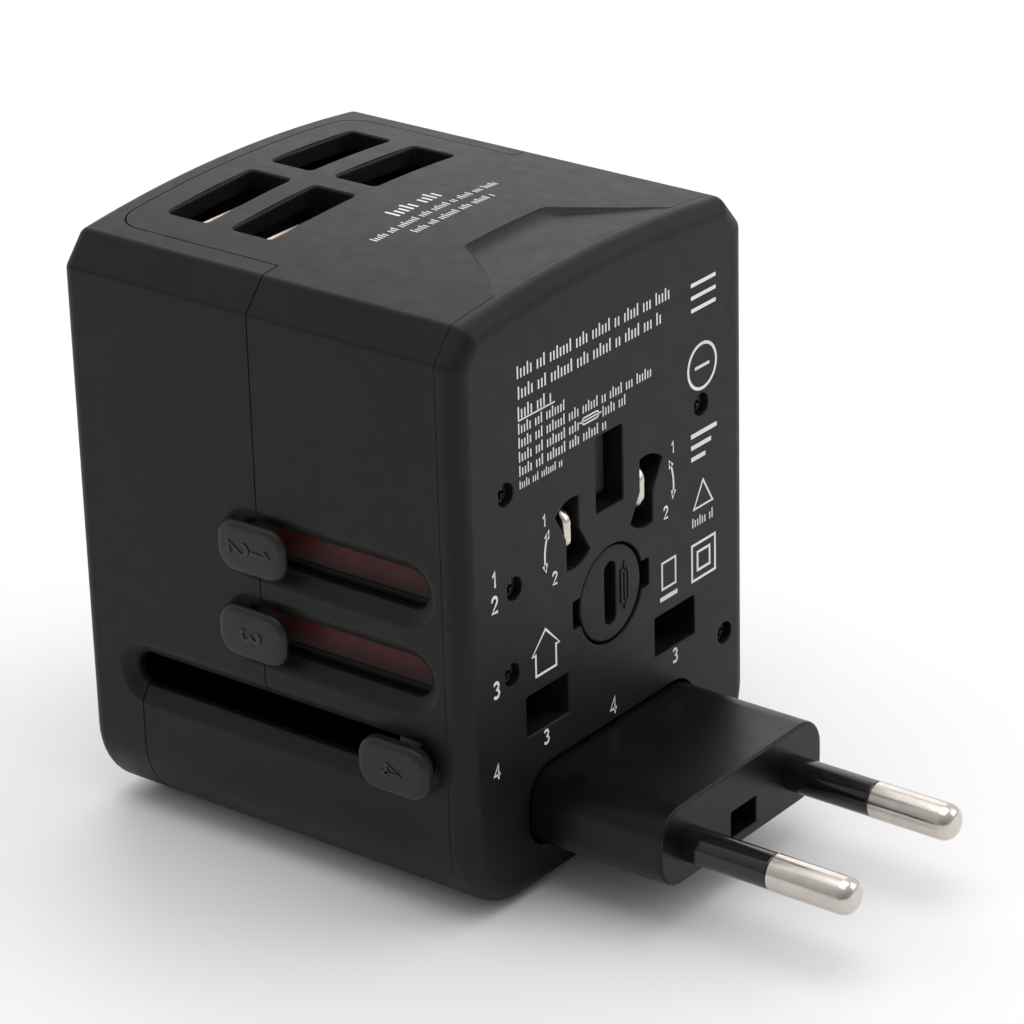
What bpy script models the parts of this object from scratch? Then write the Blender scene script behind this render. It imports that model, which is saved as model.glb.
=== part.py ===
"""Universal travel adapter: a casing with three sliding plugs, four USB ports and a world socket.

World axes: +Z up (USB ports on top), -Y towards the wall socket, -X the side with the slider knobs.
The origin is the middle of the casing's flat bottom face. Lengths below are in millimetres, and a
"depth" is a distance behind the plug face, so depth 0 is the plug face and DEPTH the back face.
"""
import math

import bmesh
import bpy

MM = 0.001
SHARP_ANGLE = 32

# Casing
WIDTH = 49.0
DEPTH = 51.2
EDGE_HEIGHT = 64.9
CROWN = 1.35
CHAMFER_WIDTH = 2.8
CHAMFER_DROP = 3.3
BOTTOM_RADIUS = 9.0
EDGE_RADIUS = 2.0
REAR_EDGE_RADIUS = 1.5
REAR_BOTTOM_RADIUS = 4.5
WALL = 2.0
GAP = 0.3
HALF = WIDTH / 2
INNER = HALF - WALL

PLATE_BACK = 2.6
FRONT_WALL_START = PLATE_BACK + GAP
FRONT_WALL_END = FRONT_WALL_START + WALL
SEAM = 26.1
SEAM_GAP = 0.25
SHELF_END = 43.5
TONGUE_END = 48.2
TONGUE_HALF = 19.1
TONGUE_RADIUS = 3.0
TONGUE_LOW = 61.9
REAR_WALL_START = DEPTH - 2.2

# Plug systems: pin places on the plug face, and the travel of each slider
UK_HALF_PITCH = 11.1
UK_LINE = 20.3
UK_EARTH = UK_LINE + 22.2
US_HALF_PITCH = 6.35
US_LINE = 37.7
US_TURN = 30
EU_HALF_PITCH = 9.25
EU_LINE = 8.6
US_TIP_DEPTH = 0.4
UK_EARTH_TIP_DEPTH = 2.0
UK_TIP_DEPTH = UK_EARTH_TIP_DEPTH + 5.0
CARRIAGE_FRONT = 24.3
CARRIAGE_BACK = 27.9

# Europlug body
EU_BODY_WIDTH = 28.8
EU_BODY_LOW = 4.7
EU_BODY_HIGH = 13.6
EU_BODY_FRONT = -16.3
EU_BODY_BACK = 11.0
EU_BODY_RADIUS = 3.6
EU_SLEEVE_END = -26.6
EU_TIP = -36.3

# Slider slots in the left wall: height of the centre line, depth range and height of each slot,
# then the depth of its knob's middle, how far the knob stands out, the depth of the knob's stem
# and how far the stem lies under the centre line
SLOTS = {
    "us": {"line": 36.35, "start": 5.1, "end": 29.6, "height": 4.35, "knob": 26.2, "proud": 1.6,
           "stem": 26.2, "drop": 1.37},
    "uk": {"line": 26.7, "start": 5.1, "end": 29.6, "height": 4.45, "knob": 26.6, "proud": 1.6,
           "stem": 26.6, "drop": 1.37},
    "eu": {"line": 17.25, "start": 5.1, "end": 44.9, "height": 3.95, "knob": 8.05, "proud": 2.4,
           "stem": 7.15, "drop": 0.0},
}
GROOVE_DEPTH = 1.2
GROOVE_HEIGHT = 7.2
GROOVE_MARGIN = 1.7
KNOB_LENGTH = 9.0
KNOB_HEIGHT = 5.8
KNOB_PRESS = 0.8
STEM_LENGTH = 2.0
STEM_HEIGHT = 1.0
SLIDE_TRAVEL = 18.8
STRIP_CLEARANCE = 0.2
STRIP_THICKNESS = 0.4
STRIP_HALF = 2.6
STRIP_END = 31.0
BLOCK_LEFT = -(INNER - 0.9)
BLOCK_RIGHT = BLOCK_LEFT + 4.7

# Fuse
FUSE_LINE = 28.5
FUSE_CAP_RADIUS = 5.25

# Screws: places on the plug face, and on the back face
FACE_SCREWS = [(-17.2, 46.0), (-16.2, 35.4), (-16.9, 26.1), (16.2, 43.9), (20.2, 15.9)]
CASING_SCREWS = [(-19.2, 10.3), (19.2, 10.3), (-17.4, 58.9), (17.4, 58.9)]

# USB ports: centres as x and depth
USB_HALF_PITCH = 8.25
USB_ROWS = (42.05, 33.4)
USB_MOUTH = (13.3, 5.4)
BOARD_LOW = 50.9
BOARD_HIGH = 52.3

# Socket on the back face
SOCKET_LINE = 23.5
SOCKET_EARTH = SOCKET_LINE + 22.2
SOCKET_HALF_WIDTH = 16.4
SOCKET_LOW = 14.9
SOCKET_HIGH = 52.5
SPRING_PLACE = (11.0, 46.7)
SPRING_TOP = 40.5

COLOURS = {
    "casing": ((0.030, 0.030, 0.032), 0.55, 0.0),
    "plug_body": ((0.012, 0.012, 0.013), 0.40, 0.0),
    "sleeve": ((0.010, 0.010, 0.010), 0.18, 0.0),
    "nickel": ((0.78, 0.74, 0.70), 0.25, 1.0),
    "brass": ((0.72, 0.52, 0.25), 0.35, 1.0),
    "steel": ((0.45, 0.45, 0.46), 0.40, 1.0),
    "board": ((0.02, 0.14, 0.06), 0.50, 0.0),
    "ferrite": ((0.05, 0.05, 0.06), 0.70, 0.0),
    "winding": ((0.75, 0.55, 0.10), 0.50, 0.0),
    "ceramic": ((0.80, 0.78, 0.72), 0.45, 0.0),
    "contact_block": ((0.020, 0.020, 0.021), 0.45, 0.0),
    "carriage": ((0.08, 0.08, 0.085), 0.55, 0.0),
    "strip": ((0.16, 0.015, 0.018), 0.45, 0.0),
}


def clear_scene():
    for item in list(bpy.data.objects):
        bpy.data.objects.remove(item, do_unlink=True)


def material(slot):
    found = bpy.data.materials.get(slot)
    if found:
        return found
    colour, roughness, metallic = COLOURS[slot]
    made = bpy.data.materials.new(slot)
    made.use_nodes = True
    shader = made.node_tree.nodes["Principled BSDF"]
    shader.inputs["Base Color"].default_value = (*colour, 1.0)
    shader.inputs["Roughness"].default_value = roughness
    shader.inputs["Metallic"].default_value = metallic
    made.diffuse_color = (*colour, 1.0)
    return made


def world(x, depth, z):
    """A point in metres, from millimetres across, behind the plug face and up."""
    return (x * MM, (depth - DEPTH / 2) * MM, z * MM)


def finish_mesh(bm, name, slot=None, pivot=(0, DEPTH / 2, 0)):
    """Make an object of a bmesh built with world points, with its origin at the pivot."""
    bmesh.ops.recalc_face_normals(bm, faces=bm.faces)
    origin = world(*pivot)
    bmesh.ops.translate(bm, verts=bm.verts, vec=[-value for value in origin])
    mesh = bpy.data.meshes.new(name)
    bm.to_mesh(mesh)
    bm.free()
    mesh.shade_smooth()
    mesh.set_sharp_from_angle(angle=math.radians(SHARP_ANGLE))
    made = bpy.data.objects.new(name, mesh)
    made.location = origin
    bpy.context.scene.collection.objects.link(made)
    if slot:
        mesh.materials.append(material(slot))
    return made


def loft(bm, rings):
    """Join rings of points, all of one count, into a closed solid with flat ends."""
    loops = [[bm.verts.new(world(*point)) for point in ring] for ring in rings]
    count = len(loops[0])
    for near, far in zip(loops, loops[1:]):
        for i in range(count):
            j = (i + 1) % count
            bm.faces.new((near[i], near[j], far[j], far[i]))
    bm.faces.new(loops[0])
    bm.faces.new(loops[-1])


def add_box(bm, low, high):
    corners = [(low[0], low[1]), (high[0], low[1]), (high[0], high[1]), (low[0], high[1])]
    loft(bm, [[(x, depth, z) for x, depth in corners] for z in (low[2], high[2])])


def add_prism(bm, outline, axis, start, end):
    """Extrude an outline along x, depth or z. The outline holds the other two, in that order."""
    def place(point, along):
        first, second = point
        places = {"x": (along, first, second), "depth": (first, along, second), "z": (first, second, along)}
        return places[axis]
    loft(bm, [[place(point, along) for point in outline] for along in (start, end)])


def circle(centre, radius, segments=16):
    """A regular polygon with flats that face along the two axes."""
    step = 2 * math.pi / segments
    return [(centre[0] + radius * math.cos(step * (i + 0.5)),
             centre[1] + radius * math.sin(step * (i + 0.5))) for i in range(segments)]


def rounded(low, high, radius, steps=4):
    """A rectangle with rounded corners."""
    centres = [(high[0] - radius, high[1] - radius, 0), (low[0] + radius, high[1] - radius, 90),
               (low[0] + radius, low[1] + radius, 180), (high[0] - radius, low[1] + radius, 270)]
    points = []
    for x, y, first in centres:
        for i in range(steps + 1):
            angle = math.radians(first + 90 * i / steps)
            points.append((x + radius * math.cos(angle), y + radius * math.sin(angle)))
    return points


def solid(name, slot, *makers, pivot=(0, DEPTH / 2, 0)):
    """One object from one or more maker functions that each take a bmesh."""
    bm = bmesh.new()
    for maker in makers:
        maker(bm)
    return finish_mesh(bm, name, slot, pivot)


def box(low, high):
    return lambda bm: add_box(bm, low, high)


def prism(outline, axis, start, end):
    return lambda bm: add_prism(bm, outline, axis, start, end)


def rod(x, z, radius, start, end, segments=16):
    return prism(circle((x, z), radius, segments), "depth", start, end)


def apply_tool(target, operation, *makers):
    """Add or take away each maker's solid with a Boolean modifier of its own."""
    for maker in makers:
        number = len(target.modifiers) + 1
        tool = solid(f"{target.name}.tool_{number}", None, maker)
        tool.hide_render = True
        tool.display_type = 'WIRE'
        step = target.modifiers.new(f"{operation.lower()}_{number}", 'BOOLEAN')
        step.operation = operation
        step.object = tool
        step.solver = 'EXACT'


def cut(target, *makers):
    apply_tool(target, 'DIFFERENCE', *makers)


def add(target, *makers):
    apply_tool(target, 'UNION', *makers)


# ---- casing ----

def casing_outline(inset=0.0):
    """The casing seen from the front: rounded below, chamfered and crowned on top."""
    points = []
    for side in (1, -1):
        half = []
        for i in range(5):
            angle = math.radians(-90 + 90 * i / 4)
            half.append((HALF - BOTTOM_RADIUS + BOTTOM_RADIUS * math.cos(angle),
                         BOTTOM_RADIUS + BOTTOM_RADIUS * math.sin(angle)))
        half.append((HALF, EDGE_HEIGHT - CHAMFER_DROP))
        top_half = HALF - CHAMFER_WIDTH
        for i in range(4):
            x = top_half * (1 - i / 4)
            half.append((x, EDGE_HEIGHT + CROWN * (1 - (x / top_half) ** 2)))
        if side == 1:
            points += half + [(0.0, EDGE_HEIGHT + CROWN)]
        else:
            points += [(-x, z) for x, z in reversed(half)]
    return inset_outline(points, inset)


def inset_outline(points, distance):
    """Move every edge of a convex outline inwards and meet the moved edges again."""
    if not distance:
        return points
    moved = []
    count = len(points)
    for i in range(count):
        (ax, az), (bx, bz), (cx, cz) = points[i - 1], points[i], points[(i + 1) % count]
        ux, uz = bx - ax, bz - az
        vx, vz = cx - bx, cz - bz
        u_length, v_length = math.hypot(ux, uz), math.hypot(vx, vz)
        nx, nz = -uz / u_length, ux / u_length
        mx, mz = -vz / v_length, vx / v_length
        scale = distance / (1 + nx * mx + nz * mz)
        moved.append((bx + (nx + mx) * scale, bz + (nz + mz) * scale))
    return moved


def casing_loft(stations):
    """A solid through pairs of depth and inset."""
    def maker(bm):
        loft(bm, [[(x, depth, z) for x, z in casing_outline(inset)] for depth, inset in stations])
    return maker


def rounded_end(depth, direction, radius, steps=3):
    """Stations that round a casing end off: direction 1 at the front, -1 at the back."""
    stations = []
    for i in range(steps + 1):
        angle = math.radians(90 * i / steps)
        stations.append((depth + direction * radius * (1 - math.cos(angle)), radius * (1 - math.sin(angle))))
    return stations


def rear_bottom_waste(bm):
    """What lies outside the large rounding between the bottom and the back face."""
    radius = REAR_BOTTOM_RADIUS
    outline = []
    for i in range(6):
        angle = math.radians(270 + 18 * i)
        outline.append((DEPTH - radius + radius * math.cos(angle), radius + radius * math.sin(angle)))
    outline += [(DEPTH + 2, radius), (DEPTH + 2, -2), (DEPTH - radius, -2)]
    add_prism(bm, outline, "x", -HALF - 2, HALF + 2)


def usb_centres():
    return [(side * USB_HALF_PITCH, depth) for depth in USB_ROWS for side in (-1, 1)]


def blade_aperture(side, grow=0.0):
    """The bow-tie opening that a blade needs to stand upright or lean outwards."""
    width, height = 2.1 + 2 * grow, 7.4 + 2 * grow
    lean = math.radians(US_TURN)
    corners = []
    for angle in (0.0, lean):
        across = (math.cos(angle), -math.sin(angle))
        along = (math.sin(angle), math.cos(angle))
        for i, j in ((-1, 1), (1, 1), (1, -1), (-1, -1)):
            corners.append((i * width / 2 * across[0] + j * height / 2 * along[0],
                            i * width / 2 * across[1] + j * height / 2 * along[1]))
    upright, leaning = corners[:4], corners[4:]
    waist = (width / 2) / math.cos(lean / 2)
    waist_right = (waist * math.cos(lean / 2), -waist * math.sin(lean / 2))
    waist_left = (-waist_right[0], -waist_right[1])
    outline = [upright[0], leaning[1], waist_right, upright[2], leaning[3], waist_left]
    return [(side * (US_HALF_PITCH + x), US_LINE + z) for x, z in outline]


def face_openings(start, end, grow=0.0):
    """Openings through the plug face for all pins, between two depths."""
    openings = [
        box((-2.3 - grow, start, UK_EARTH - 4.2 - grow), (2.3 + grow, end, UK_EARTH + 4.2 + grow)),
        prism(rounded((-EU_BODY_WIDTH / 2 - GAP, EU_BODY_LOW - GAP), (EU_BODY_WIDTH / 2 + GAP,
              EU_BODY_HIGH + GAP), EU_BODY_RADIUS + GAP), "depth", start, end),
    ]
    for side in (-1, 1):
        x = side * UK_HALF_PITCH
        openings.append(box((x - 3.55 - grow, start, UK_LINE - 2.25 - grow),
                            (x + 3.55 + grow, end, UK_LINE + 2.25 + grow)))
        openings.append(prism(blade_aperture(side, grow), "depth", start, end))
    return openings


def plug_face_plate():
    made = solid("plug_face_plate", "casing",
                 casing_loft(rounded_end(0, 1, EDGE_RADIUS) + [(PLATE_BACK, 0.0)]))
    cut(made, *face_openings(-1, PLATE_BACK + 1))
    cut(made, rod(0, FUSE_LINE, FUSE_CAP_RADIUS + GAP, -1, PLATE_BACK + 1, 32))
    cut(made, box((-6.6, -1, FUSE_LINE - 1.6), (6.6, PLATE_BACK + 1, FUSE_LINE + 1.6)))
    for x, z in FACE_SCREWS:
        cut(made, rod(x, z, 1.25, -1, 1.5, 12), rod(x, z, 0.95, 1, PLATE_BACK + 1, 12))
    cut(made, top_dish)


def slot_outline(slot, margin=0.0, height=None):
    height = height or slot["height"]
    radius = height / 2
    return rounded((slot["start"] - margin, slot["line"] - radius),
                   (slot["end"] + margin, slot["line"] + radius), radius - 0.01)


def slot_cuts():
    """Each slider's slot through the left wall, and the shallow groove that its knob presses into."""
    cuts = []
    for slot in SLOTS.values():
        cuts.append(prism(slot_outline(slot), "x", -HALF - 1, -INNER + 1))
        groove = slot_outline(slot, GROOVE_MARGIN, GROOVE_HEIGHT)
        cuts.append(prism(groove, "x", -HALF - 1, -HALF + GROOVE_DEPTH))
    return cuts


def casing_block(name, stations):
    """The hollow casing between two depths, before it is divided into its shells."""
    return solid(name, "casing", casing_loft(stations))


def hollow(target):
    cut(target, casing_loft([(FRONT_WALL_END, WALL), (REAR_WALL_START, WALL)]))


def tongue_corner(side):
    """What lies outside a rear corner of the tongue that carries the USB mouths."""
    radius = TONGUE_RADIUS
    outline = []
    for i in range(5):
        angle = math.radians(90 * i / 4)
        outline.append((side * (TONGUE_HALF - radius + radius * math.cos(angle)),
                        TONGUE_END - radius + radius * math.sin(angle)))
    outline += [(side * (TONGUE_HALF - radius), TONGUE_END + 1), (side * (TONGUE_HALF + 1), TONGUE_END + 1),
                (side * (TONGUE_HALF + 1), TONGUE_END - radius)]
    return prism(outline, "z", TONGUE_LOW - 1, EDGE_HEIGHT + 5)


def top_dish(bm):
    """The shallow hollow that runs off the front edge of the top, wider towards the front."""
    rings = []
    for depth, half, floor in ((-1.0, 15.6, -0.9), (11.0, 6.6, -0.9), (12.9, 6.0, 0.3)):
        ring = []
        for i in range(9):
            x = half * (i / 4 - 1)
            ring.append((x, depth, EDGE_HEIGHT + CROWN * (1 - (x / (HALF - CHAMFER_WIDTH)) ** 2) + floor))
        ring += [(half, depth, EDGE_HEIGHT + 5), (-half, depth, EDGE_HEIGHT + 5)]
        rings.append(ring)
    loft(bm, rings)


def front_shell():
    made = casing_block("front_shell", [(FRONT_WALL_START, 0.0), (TONGUE_END, 0.0)])
    hollow(made)
    cut(made, box((-40, SEAM, SLOTS["eu"]["line"]), (40, 60, TONGUE_LOW)))
    cut(made, box((-40, SHELF_END, -5), (40, 60, TONGUE_LOW + 0.1)))
    for side in (-1, 1):
        low, high = sorted((side * TONGUE_HALF, side * 40))
        cut(made, box((low, SEAM, TONGUE_LOW - 0.1), (high, 60, 75)))
        cut(made, tongue_corner(side))
    add(made, *[rod(x, z, 2.0, 30.0 if z > 30 else 8.0, 40.0, 12) for x, z in CASING_SCREWS])
    for x, z in CASING_SCREWS:
        if z > 30:
            add(made, box((x - 0.6, 30.2, z), (x + 0.6, 39.8, 64.1)))
        else:
            add(made, box((x - 0.6, 8.2, 1.8), (x + 0.6, 39.8, z)))
        cut(made, rod(x, z, 1.25, 29.0, 41.0, 12))
    for side in (-1, 1):
        low, high = sorted((side * 19.0, side * (INNER + 0.5)))
        add(made, box((low, FRONT_WALL_END - 0.5, BOARD_LOW - 1.2), (high, 25.0, BOARD_LOW - GAP)))
        add(made, box((side * 8.0 - 0.7, FRONT_WALL_END - 0.5, 1.5),
                      (side * 8.0 + 0.7, 42.8, EU_BODY_LOW - GAP)))
    cut(made, *face_openings(FRONT_WALL_START - 1, FRONT_WALL_END + 1, 0.2))
    cut(made, rod(0, FUSE_LINE, 6.3, FRONT_WALL_START - 1, FRONT_WALL_END + 1, 24))
    for x, z in FACE_SCREWS:
        cut(made, rod(x, z, 0.95, FRONT_WALL_START - 1, FRONT_WALL_END + 1, 12))
    cut(made, *slot_cuts())
    cut(made, top_dish)
    for x, depth in usb_centres():
        low = (x - USB_MOUTH[0] / 2, depth - USB_MOUTH[1] / 2)
        high = (x + USB_MOUTH[0] / 2, depth + USB_MOUTH[1] / 2)
        cut(made, prism(rounded(low, high, 0.6, 2), "z", 58, 72))


def rear_shell():
    made = casing_block("rear_shell",
                        [(SEAM + SEAM_GAP, 0.0)] + rounded_end(DEPTH, -1, REAR_EDGE_RADIUS)[::-1])
    hollow(made)
    cut(made, rear_bottom_waste)
    cut(made, box((-40, 0, -5), (40, SHELF_END + SEAM_GAP, SLOTS["eu"]["line"] + SEAM_GAP)))
    half, end = TONGUE_HALF + SEAM_GAP, TONGUE_END + SEAM_GAP
    cut(made, prism(rounded((-half, 0), (half, end), TONGUE_RADIUS + SEAM_GAP), "z", TONGUE_LOW - 1, 72))
    add(made, *[rod(x, z, 2.2, 40.6, DEPTH - 1, 12) for x, z in CASING_SCREWS])
    for x, z in CASING_SCREWS:
        cut(made, rod(x, z, 1.35, 40, DEPTH + 1, 12), rod(x, z, 2.1, DEPTH - 1.7, DEPTH + 1, 16))
    cut(made, *slot_cuts())
    cut(made, prism(rounded((-SOCKET_HALF_WIDTH - GAP, SOCKET_LOW - GAP), (SOCKET_HALF_WIDTH + GAP,
                    SOCKET_HIGH + GAP), 5.3), "depth", REAR_WALL_START - 1, DEPTH + 1))


def screws():
    for number, (x, z) in enumerate(FACE_SCREWS, 1):
        screw(f"face_screw_{number}", x, z, 1.1, 0.8, 1.45, 0.8, 4.7, 1)
    for number, (x, z) in enumerate(CASING_SCREWS, 1):
        screw(f"casing_screw_{number}", x, z, 1.9, DEPTH - 0.5, DEPTH - 1.65, 1.1, 36.0, -1)


def screw(name, x, z, head_radius, face, seat, shank_radius, tip, direction):
    """A screw along depth with a cross recess. Direction 1 points into the casing from the front."""
    rings = [(face, head_radius), (seat, head_radius), (seat + 0.001 * direction, shank_radius),
             (tip, shank_radius)]
    made = solid(name, "steel", lambda bm: loft(
        bm, [[(px, depth, pz) for px, pz in circle((x, z), radius, 12)] for depth, radius in rings]))
    reach, thin = head_radius * 0.62, head_radius * 0.16
    low, high = sorted((face - direction, face + direction * (seat - face) * direction * 0.6))
    cut(made, box((x - reach, low, z - thin), (x + reach, high, z + thin)),
        box((x - thin, low, z - reach), (x + thin, high, z + reach)))


# ---- knobs and carriages ----

def knob(name):
    """A slider knob: a wide cap on a smaller base, and a stem that enters the carriage."""
    slot = SLOTS[name]
    centre, line, proud = slot["knob"], slot["line"], slot["proud"]
    neck = (slot["stem"], line)
    stem = (slot["stem"], line - slot["drop"])

    def rectangle(length, height, radius, x, middle=(centre, line)):
        outline = rounded((middle[0] - length / 2, middle[1] - height / 2),
                          (middle[0] + length / 2, middle[1] + height / 2), radius, 3)
        return [(x, depth, z) for depth, z in outline]

    def maker(bm):
        face = -HALF
        loft(bm, [
            rectangle(KNOB_LENGTH - 1.6, KNOB_HEIGHT - 1.4, 1.6, face - proud),
            rectangle(KNOB_LENGTH - 0.3, KNOB_HEIGHT - 0.3, 2.2, face - proud + 0.5),
            rectangle(KNOB_LENGTH, KNOB_HEIGHT, 2.3, face - proud + 0.7),
            rectangle(KNOB_LENGTH, KNOB_HEIGHT, 2.3, face - proud + 0.78),
            rectangle(4.0, 4.4, 1.4, face - proud + 0.79, neck),
            rectangle(4.0, 4.4, 1.4, face + 0.1, neck),
            rectangle(STEM_LENGTH, STEM_HEIGHT, 0.2, face + 0.11, stem),
            rectangle(STEM_LENGTH, STEM_HEIGHT, 0.2, BLOCK_LEFT + 1.4, stem),
        ])
    return solid(f"{name}_knob", "casing", maker, pivot=(-HALF, centre, line))


def knob_pocket(name):
    slot = SLOTS[name]
    depth, middle = slot["stem"], slot["line"] - slot["drop"]
    return box((BLOCK_LEFT - 1, depth - 1.3, middle - 0.8), (BLOCK_LEFT + 2.6, depth + 1.3, middle + 0.8))


def slot_strip(name):
    """The coloured strip behind a slot, with a narrow slot of its own for the knob's stem."""
    slot = SLOTS[name]
    line, stem_line = slot["line"], slot["line"] - slot["drop"]
    near, far = -INNER + STRIP_CLEARANCE, -INNER + STRIP_CLEARANCE + STRIP_THICKNESS
    strip = solid(f"{name}_slot_strip", "strip",
                  box((near, FRONT_WALL_END + GAP, line - STRIP_HALF), (far, STRIP_END, line + STRIP_HALF)))
    reach = STEM_LENGTH / 2 + GAP
    rise = STEM_HEIGHT / 2 + GAP
    cut(strip, box((near - 1, slot["stem"] - SLIDE_TRAVEL - reach, stem_line - rise),
                   (far + 1, slot["stem"] + reach, stem_line + rise)))


def us_plug():
    line = SLOTS["us"]["line"]
    carriage = solid("us_carriage", "carriage",
                     box((BLOCK_LEFT, CARRIAGE_FRONT, line - 2.9), (9.8, CARRIAGE_BACK, line + 1.5)))
    for side in (-1, 1):
        add(carriage, rod(side * US_HALF_PITCH, US_LINE, 3.0, CARRIAGE_FRONT, CARRIAGE_BACK, 16))
        cut(carriage, rod(side * US_HALF_PITCH, US_LINE, 2.05, CARRIAGE_FRONT - 1, CARRIAGE_BACK + 1, 16))
    cut(carriage, knob_pocket("us"))
    knob("us")
    slot_strip("us")
    for label, side in (("left", -1), ("right", 1)):
        x = side * US_HALF_PITCH
        rings = [(US_TIP_DEPTH, 0.35, 2.2), (US_TIP_DEPTH + 0.7, 0.75, 2.9), (US_TIP_DEPTH + 1.6, 0.75, 3.15),
                 (CARRIAGE_FRONT - GAP, 0.75, 3.15)]
        blade = solid(f"us_blade_{label}", "nickel", lambda bm: loft(bm, [
            [(px, depth, pz) for px, pz in rounded((x - a, US_LINE - b), (x + a, US_LINE + b), 0.3, 2)]
            for depth, a, b in rings]), pivot=(x, CARRIAGE_FRONT, US_LINE))
        add(blade, rod(x, US_LINE, 1.75, CARRIAGE_FRONT - 0.5, CARRIAGE_BACK + 1.1, 16))
        clip = solid(f"us_pivot_clip_{label}", "steel",
                     rod(x, US_LINE, 2.7, CARRIAGE_BACK + 0.3, CARRIAGE_BACK + 0.9, 16),
                     pivot=(x, CARRIAGE_BACK, US_LINE))
        cut(clip, rod(x, US_LINE, 1.95, CARRIAGE_BACK - 1, CARRIAGE_BACK + 2, 16))


def uk_plug():
    front, back = CARRIAGE_FRONT, CARRIAGE_BACK
    line = SLOTS["uk"]["line"]
    right = 19.6
    outline = [
        (BLOCK_LEFT, 19.8), (-15.8, 19.8), (-15.8, 18.1), (right, 18.1), (right, 49.3), (-2.9, 49.3),
        (-2.9, 38.3), (2.9, 38.3), (2.9, 43.3), (15.2, 43.3), (15.2, 23.3), (BLOCK_RIGHT, 23.3),
        (BLOCK_RIGHT, line + 2.2), (BLOCK_LEFT, line + 2.2),
    ]
    carriage = solid("uk_carriage", "carriage", prism(outline, "depth", front, back))
    cut(carriage, knob_pocket("uk"))
    knob("uk")
    slot_strip("uk")
    sleeve_front = UK_TIP_DEPTH + 8.0
    for label, side in (("live", 1), ("neutral", -1)):
        x = side * UK_HALF_PITCH
        steps = [(UK_TIP_DEPTH, 2.6, 1.4), (UK_TIP_DEPTH + 0.9, 3.175, 2.0), (sleeve_front, 3.175, 2.0),
                 (sleeve_front + 0.001, 2.6, 1.45), (front - GAP, 2.6, 1.45)]
        solid(f"uk_pin_{label}", "brass", lambda bm: loft(bm, [
            [(px, depth, pz) for px, pz in rounded((x - a, UK_LINE - b), (x + a, UK_LINE + b), 0.3, 2)]
            for depth, a, b in steps]))
        sleeve = solid(f"uk_sleeve_{label}", "sleeve",
                       prism(rounded((x - 3.175, UK_LINE - 2), (x + 3.175, UK_LINE + 2), 0.3, 2), "depth",
                             sleeve_front + 0.2, front - GAP))
        cut(sleeve, box((x - 2.8, sleeve_front, UK_LINE - 1.65), (x + 2.8, front, UK_LINE + 1.65)))
    solid("uk_earth_pin", "carriage", lambda bm: loft(bm, [
        [(px, depth, pz) for px, pz in rounded((-a, UK_EARTH - b), (a, UK_EARTH + b), 0.3, 2)]
        for depth, a, b in ((UK_EARTH_TIP_DEPTH, 1.4, 3.4), (UK_EARTH_TIP_DEPTH + 0.9, 2.0, 4.0),
                            (front - GAP, 2.0, 4.0))]))


def eu_plug():
    half = EU_BODY_WIDTH / 2
    outline_low, outline_high = (-half, EU_BODY_LOW), (half, EU_BODY_HIGH)

    def ring(depth, inset):
        outline = rounded((outline_low[0] + inset, outline_low[1] + inset),
                          (outline_high[0] - inset, outline_high[1] - inset), EU_BODY_RADIUS - inset)
        return [(x, depth, z) for x, z in outline]

    body = solid("eu_plug_body", "plug_body", lambda bm: loft(bm, [
        ring(EU_BODY_FRONT, 0.7), ring(EU_BODY_FRONT + 0.2, 0.25), ring(EU_BODY_FRONT + 0.7, 0.0),
        ring(EU_BODY_BACK, 0.0)]))
    arm_front = 5.2
    add(body, box((-17.0, arm_front, EU_BODY_HIGH - 0.6), (-8.0, EU_BODY_BACK, 16.7)),
        box((BLOCK_LEFT, arm_front, 14.3), (-16.5, EU_BODY_BACK, 19.3)))
    cut(body, knob_pocket("eu"))
    cut(body, box((-2.1, EU_BODY_FRONT - 1, 5.9), (2.4, EU_BODY_FRONT + 8, 8.9)))
    for side in (-1, 1):
        cut(body, rod(side * EU_HALF_PITCH, EU_LINE, 2.1, EU_BODY_FRONT - 1, 8.0, 20))
    knob("eu")
    for label, side in (("live", 1), ("neutral", -1)):
        x = side * EU_HALF_PITCH
        rings = [(EU_TIP, 0.7), (EU_TIP + 0.35, 1.3), (EU_TIP + 1.0, 1.8), (EU_TIP + 1.8, 2.0),
                 (EU_SLEEVE_END, 2.0), (EU_SLEEVE_END + 0.001, 1.6), (7.6, 1.6)]
        solid(f"eu_pin_{label}", "nickel", lambda bm: loft(bm, [
            [(px, depth, pz) for px, pz in circle((x, EU_LINE), radius, 20)] for depth, radius in rings]))
        sleeve = solid(f"eu_sleeve_{label}", "sleeve",
                       rod(x, EU_LINE, 1.95, EU_SLEEVE_END + 0.2, EU_BODY_FRONT + 6, 20))
        cut(sleeve, rod(x, EU_LINE, 1.72, EU_SLEEVE_END - 1, EU_BODY_FRONT + 7, 20))


# ---- fuse ----

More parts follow.
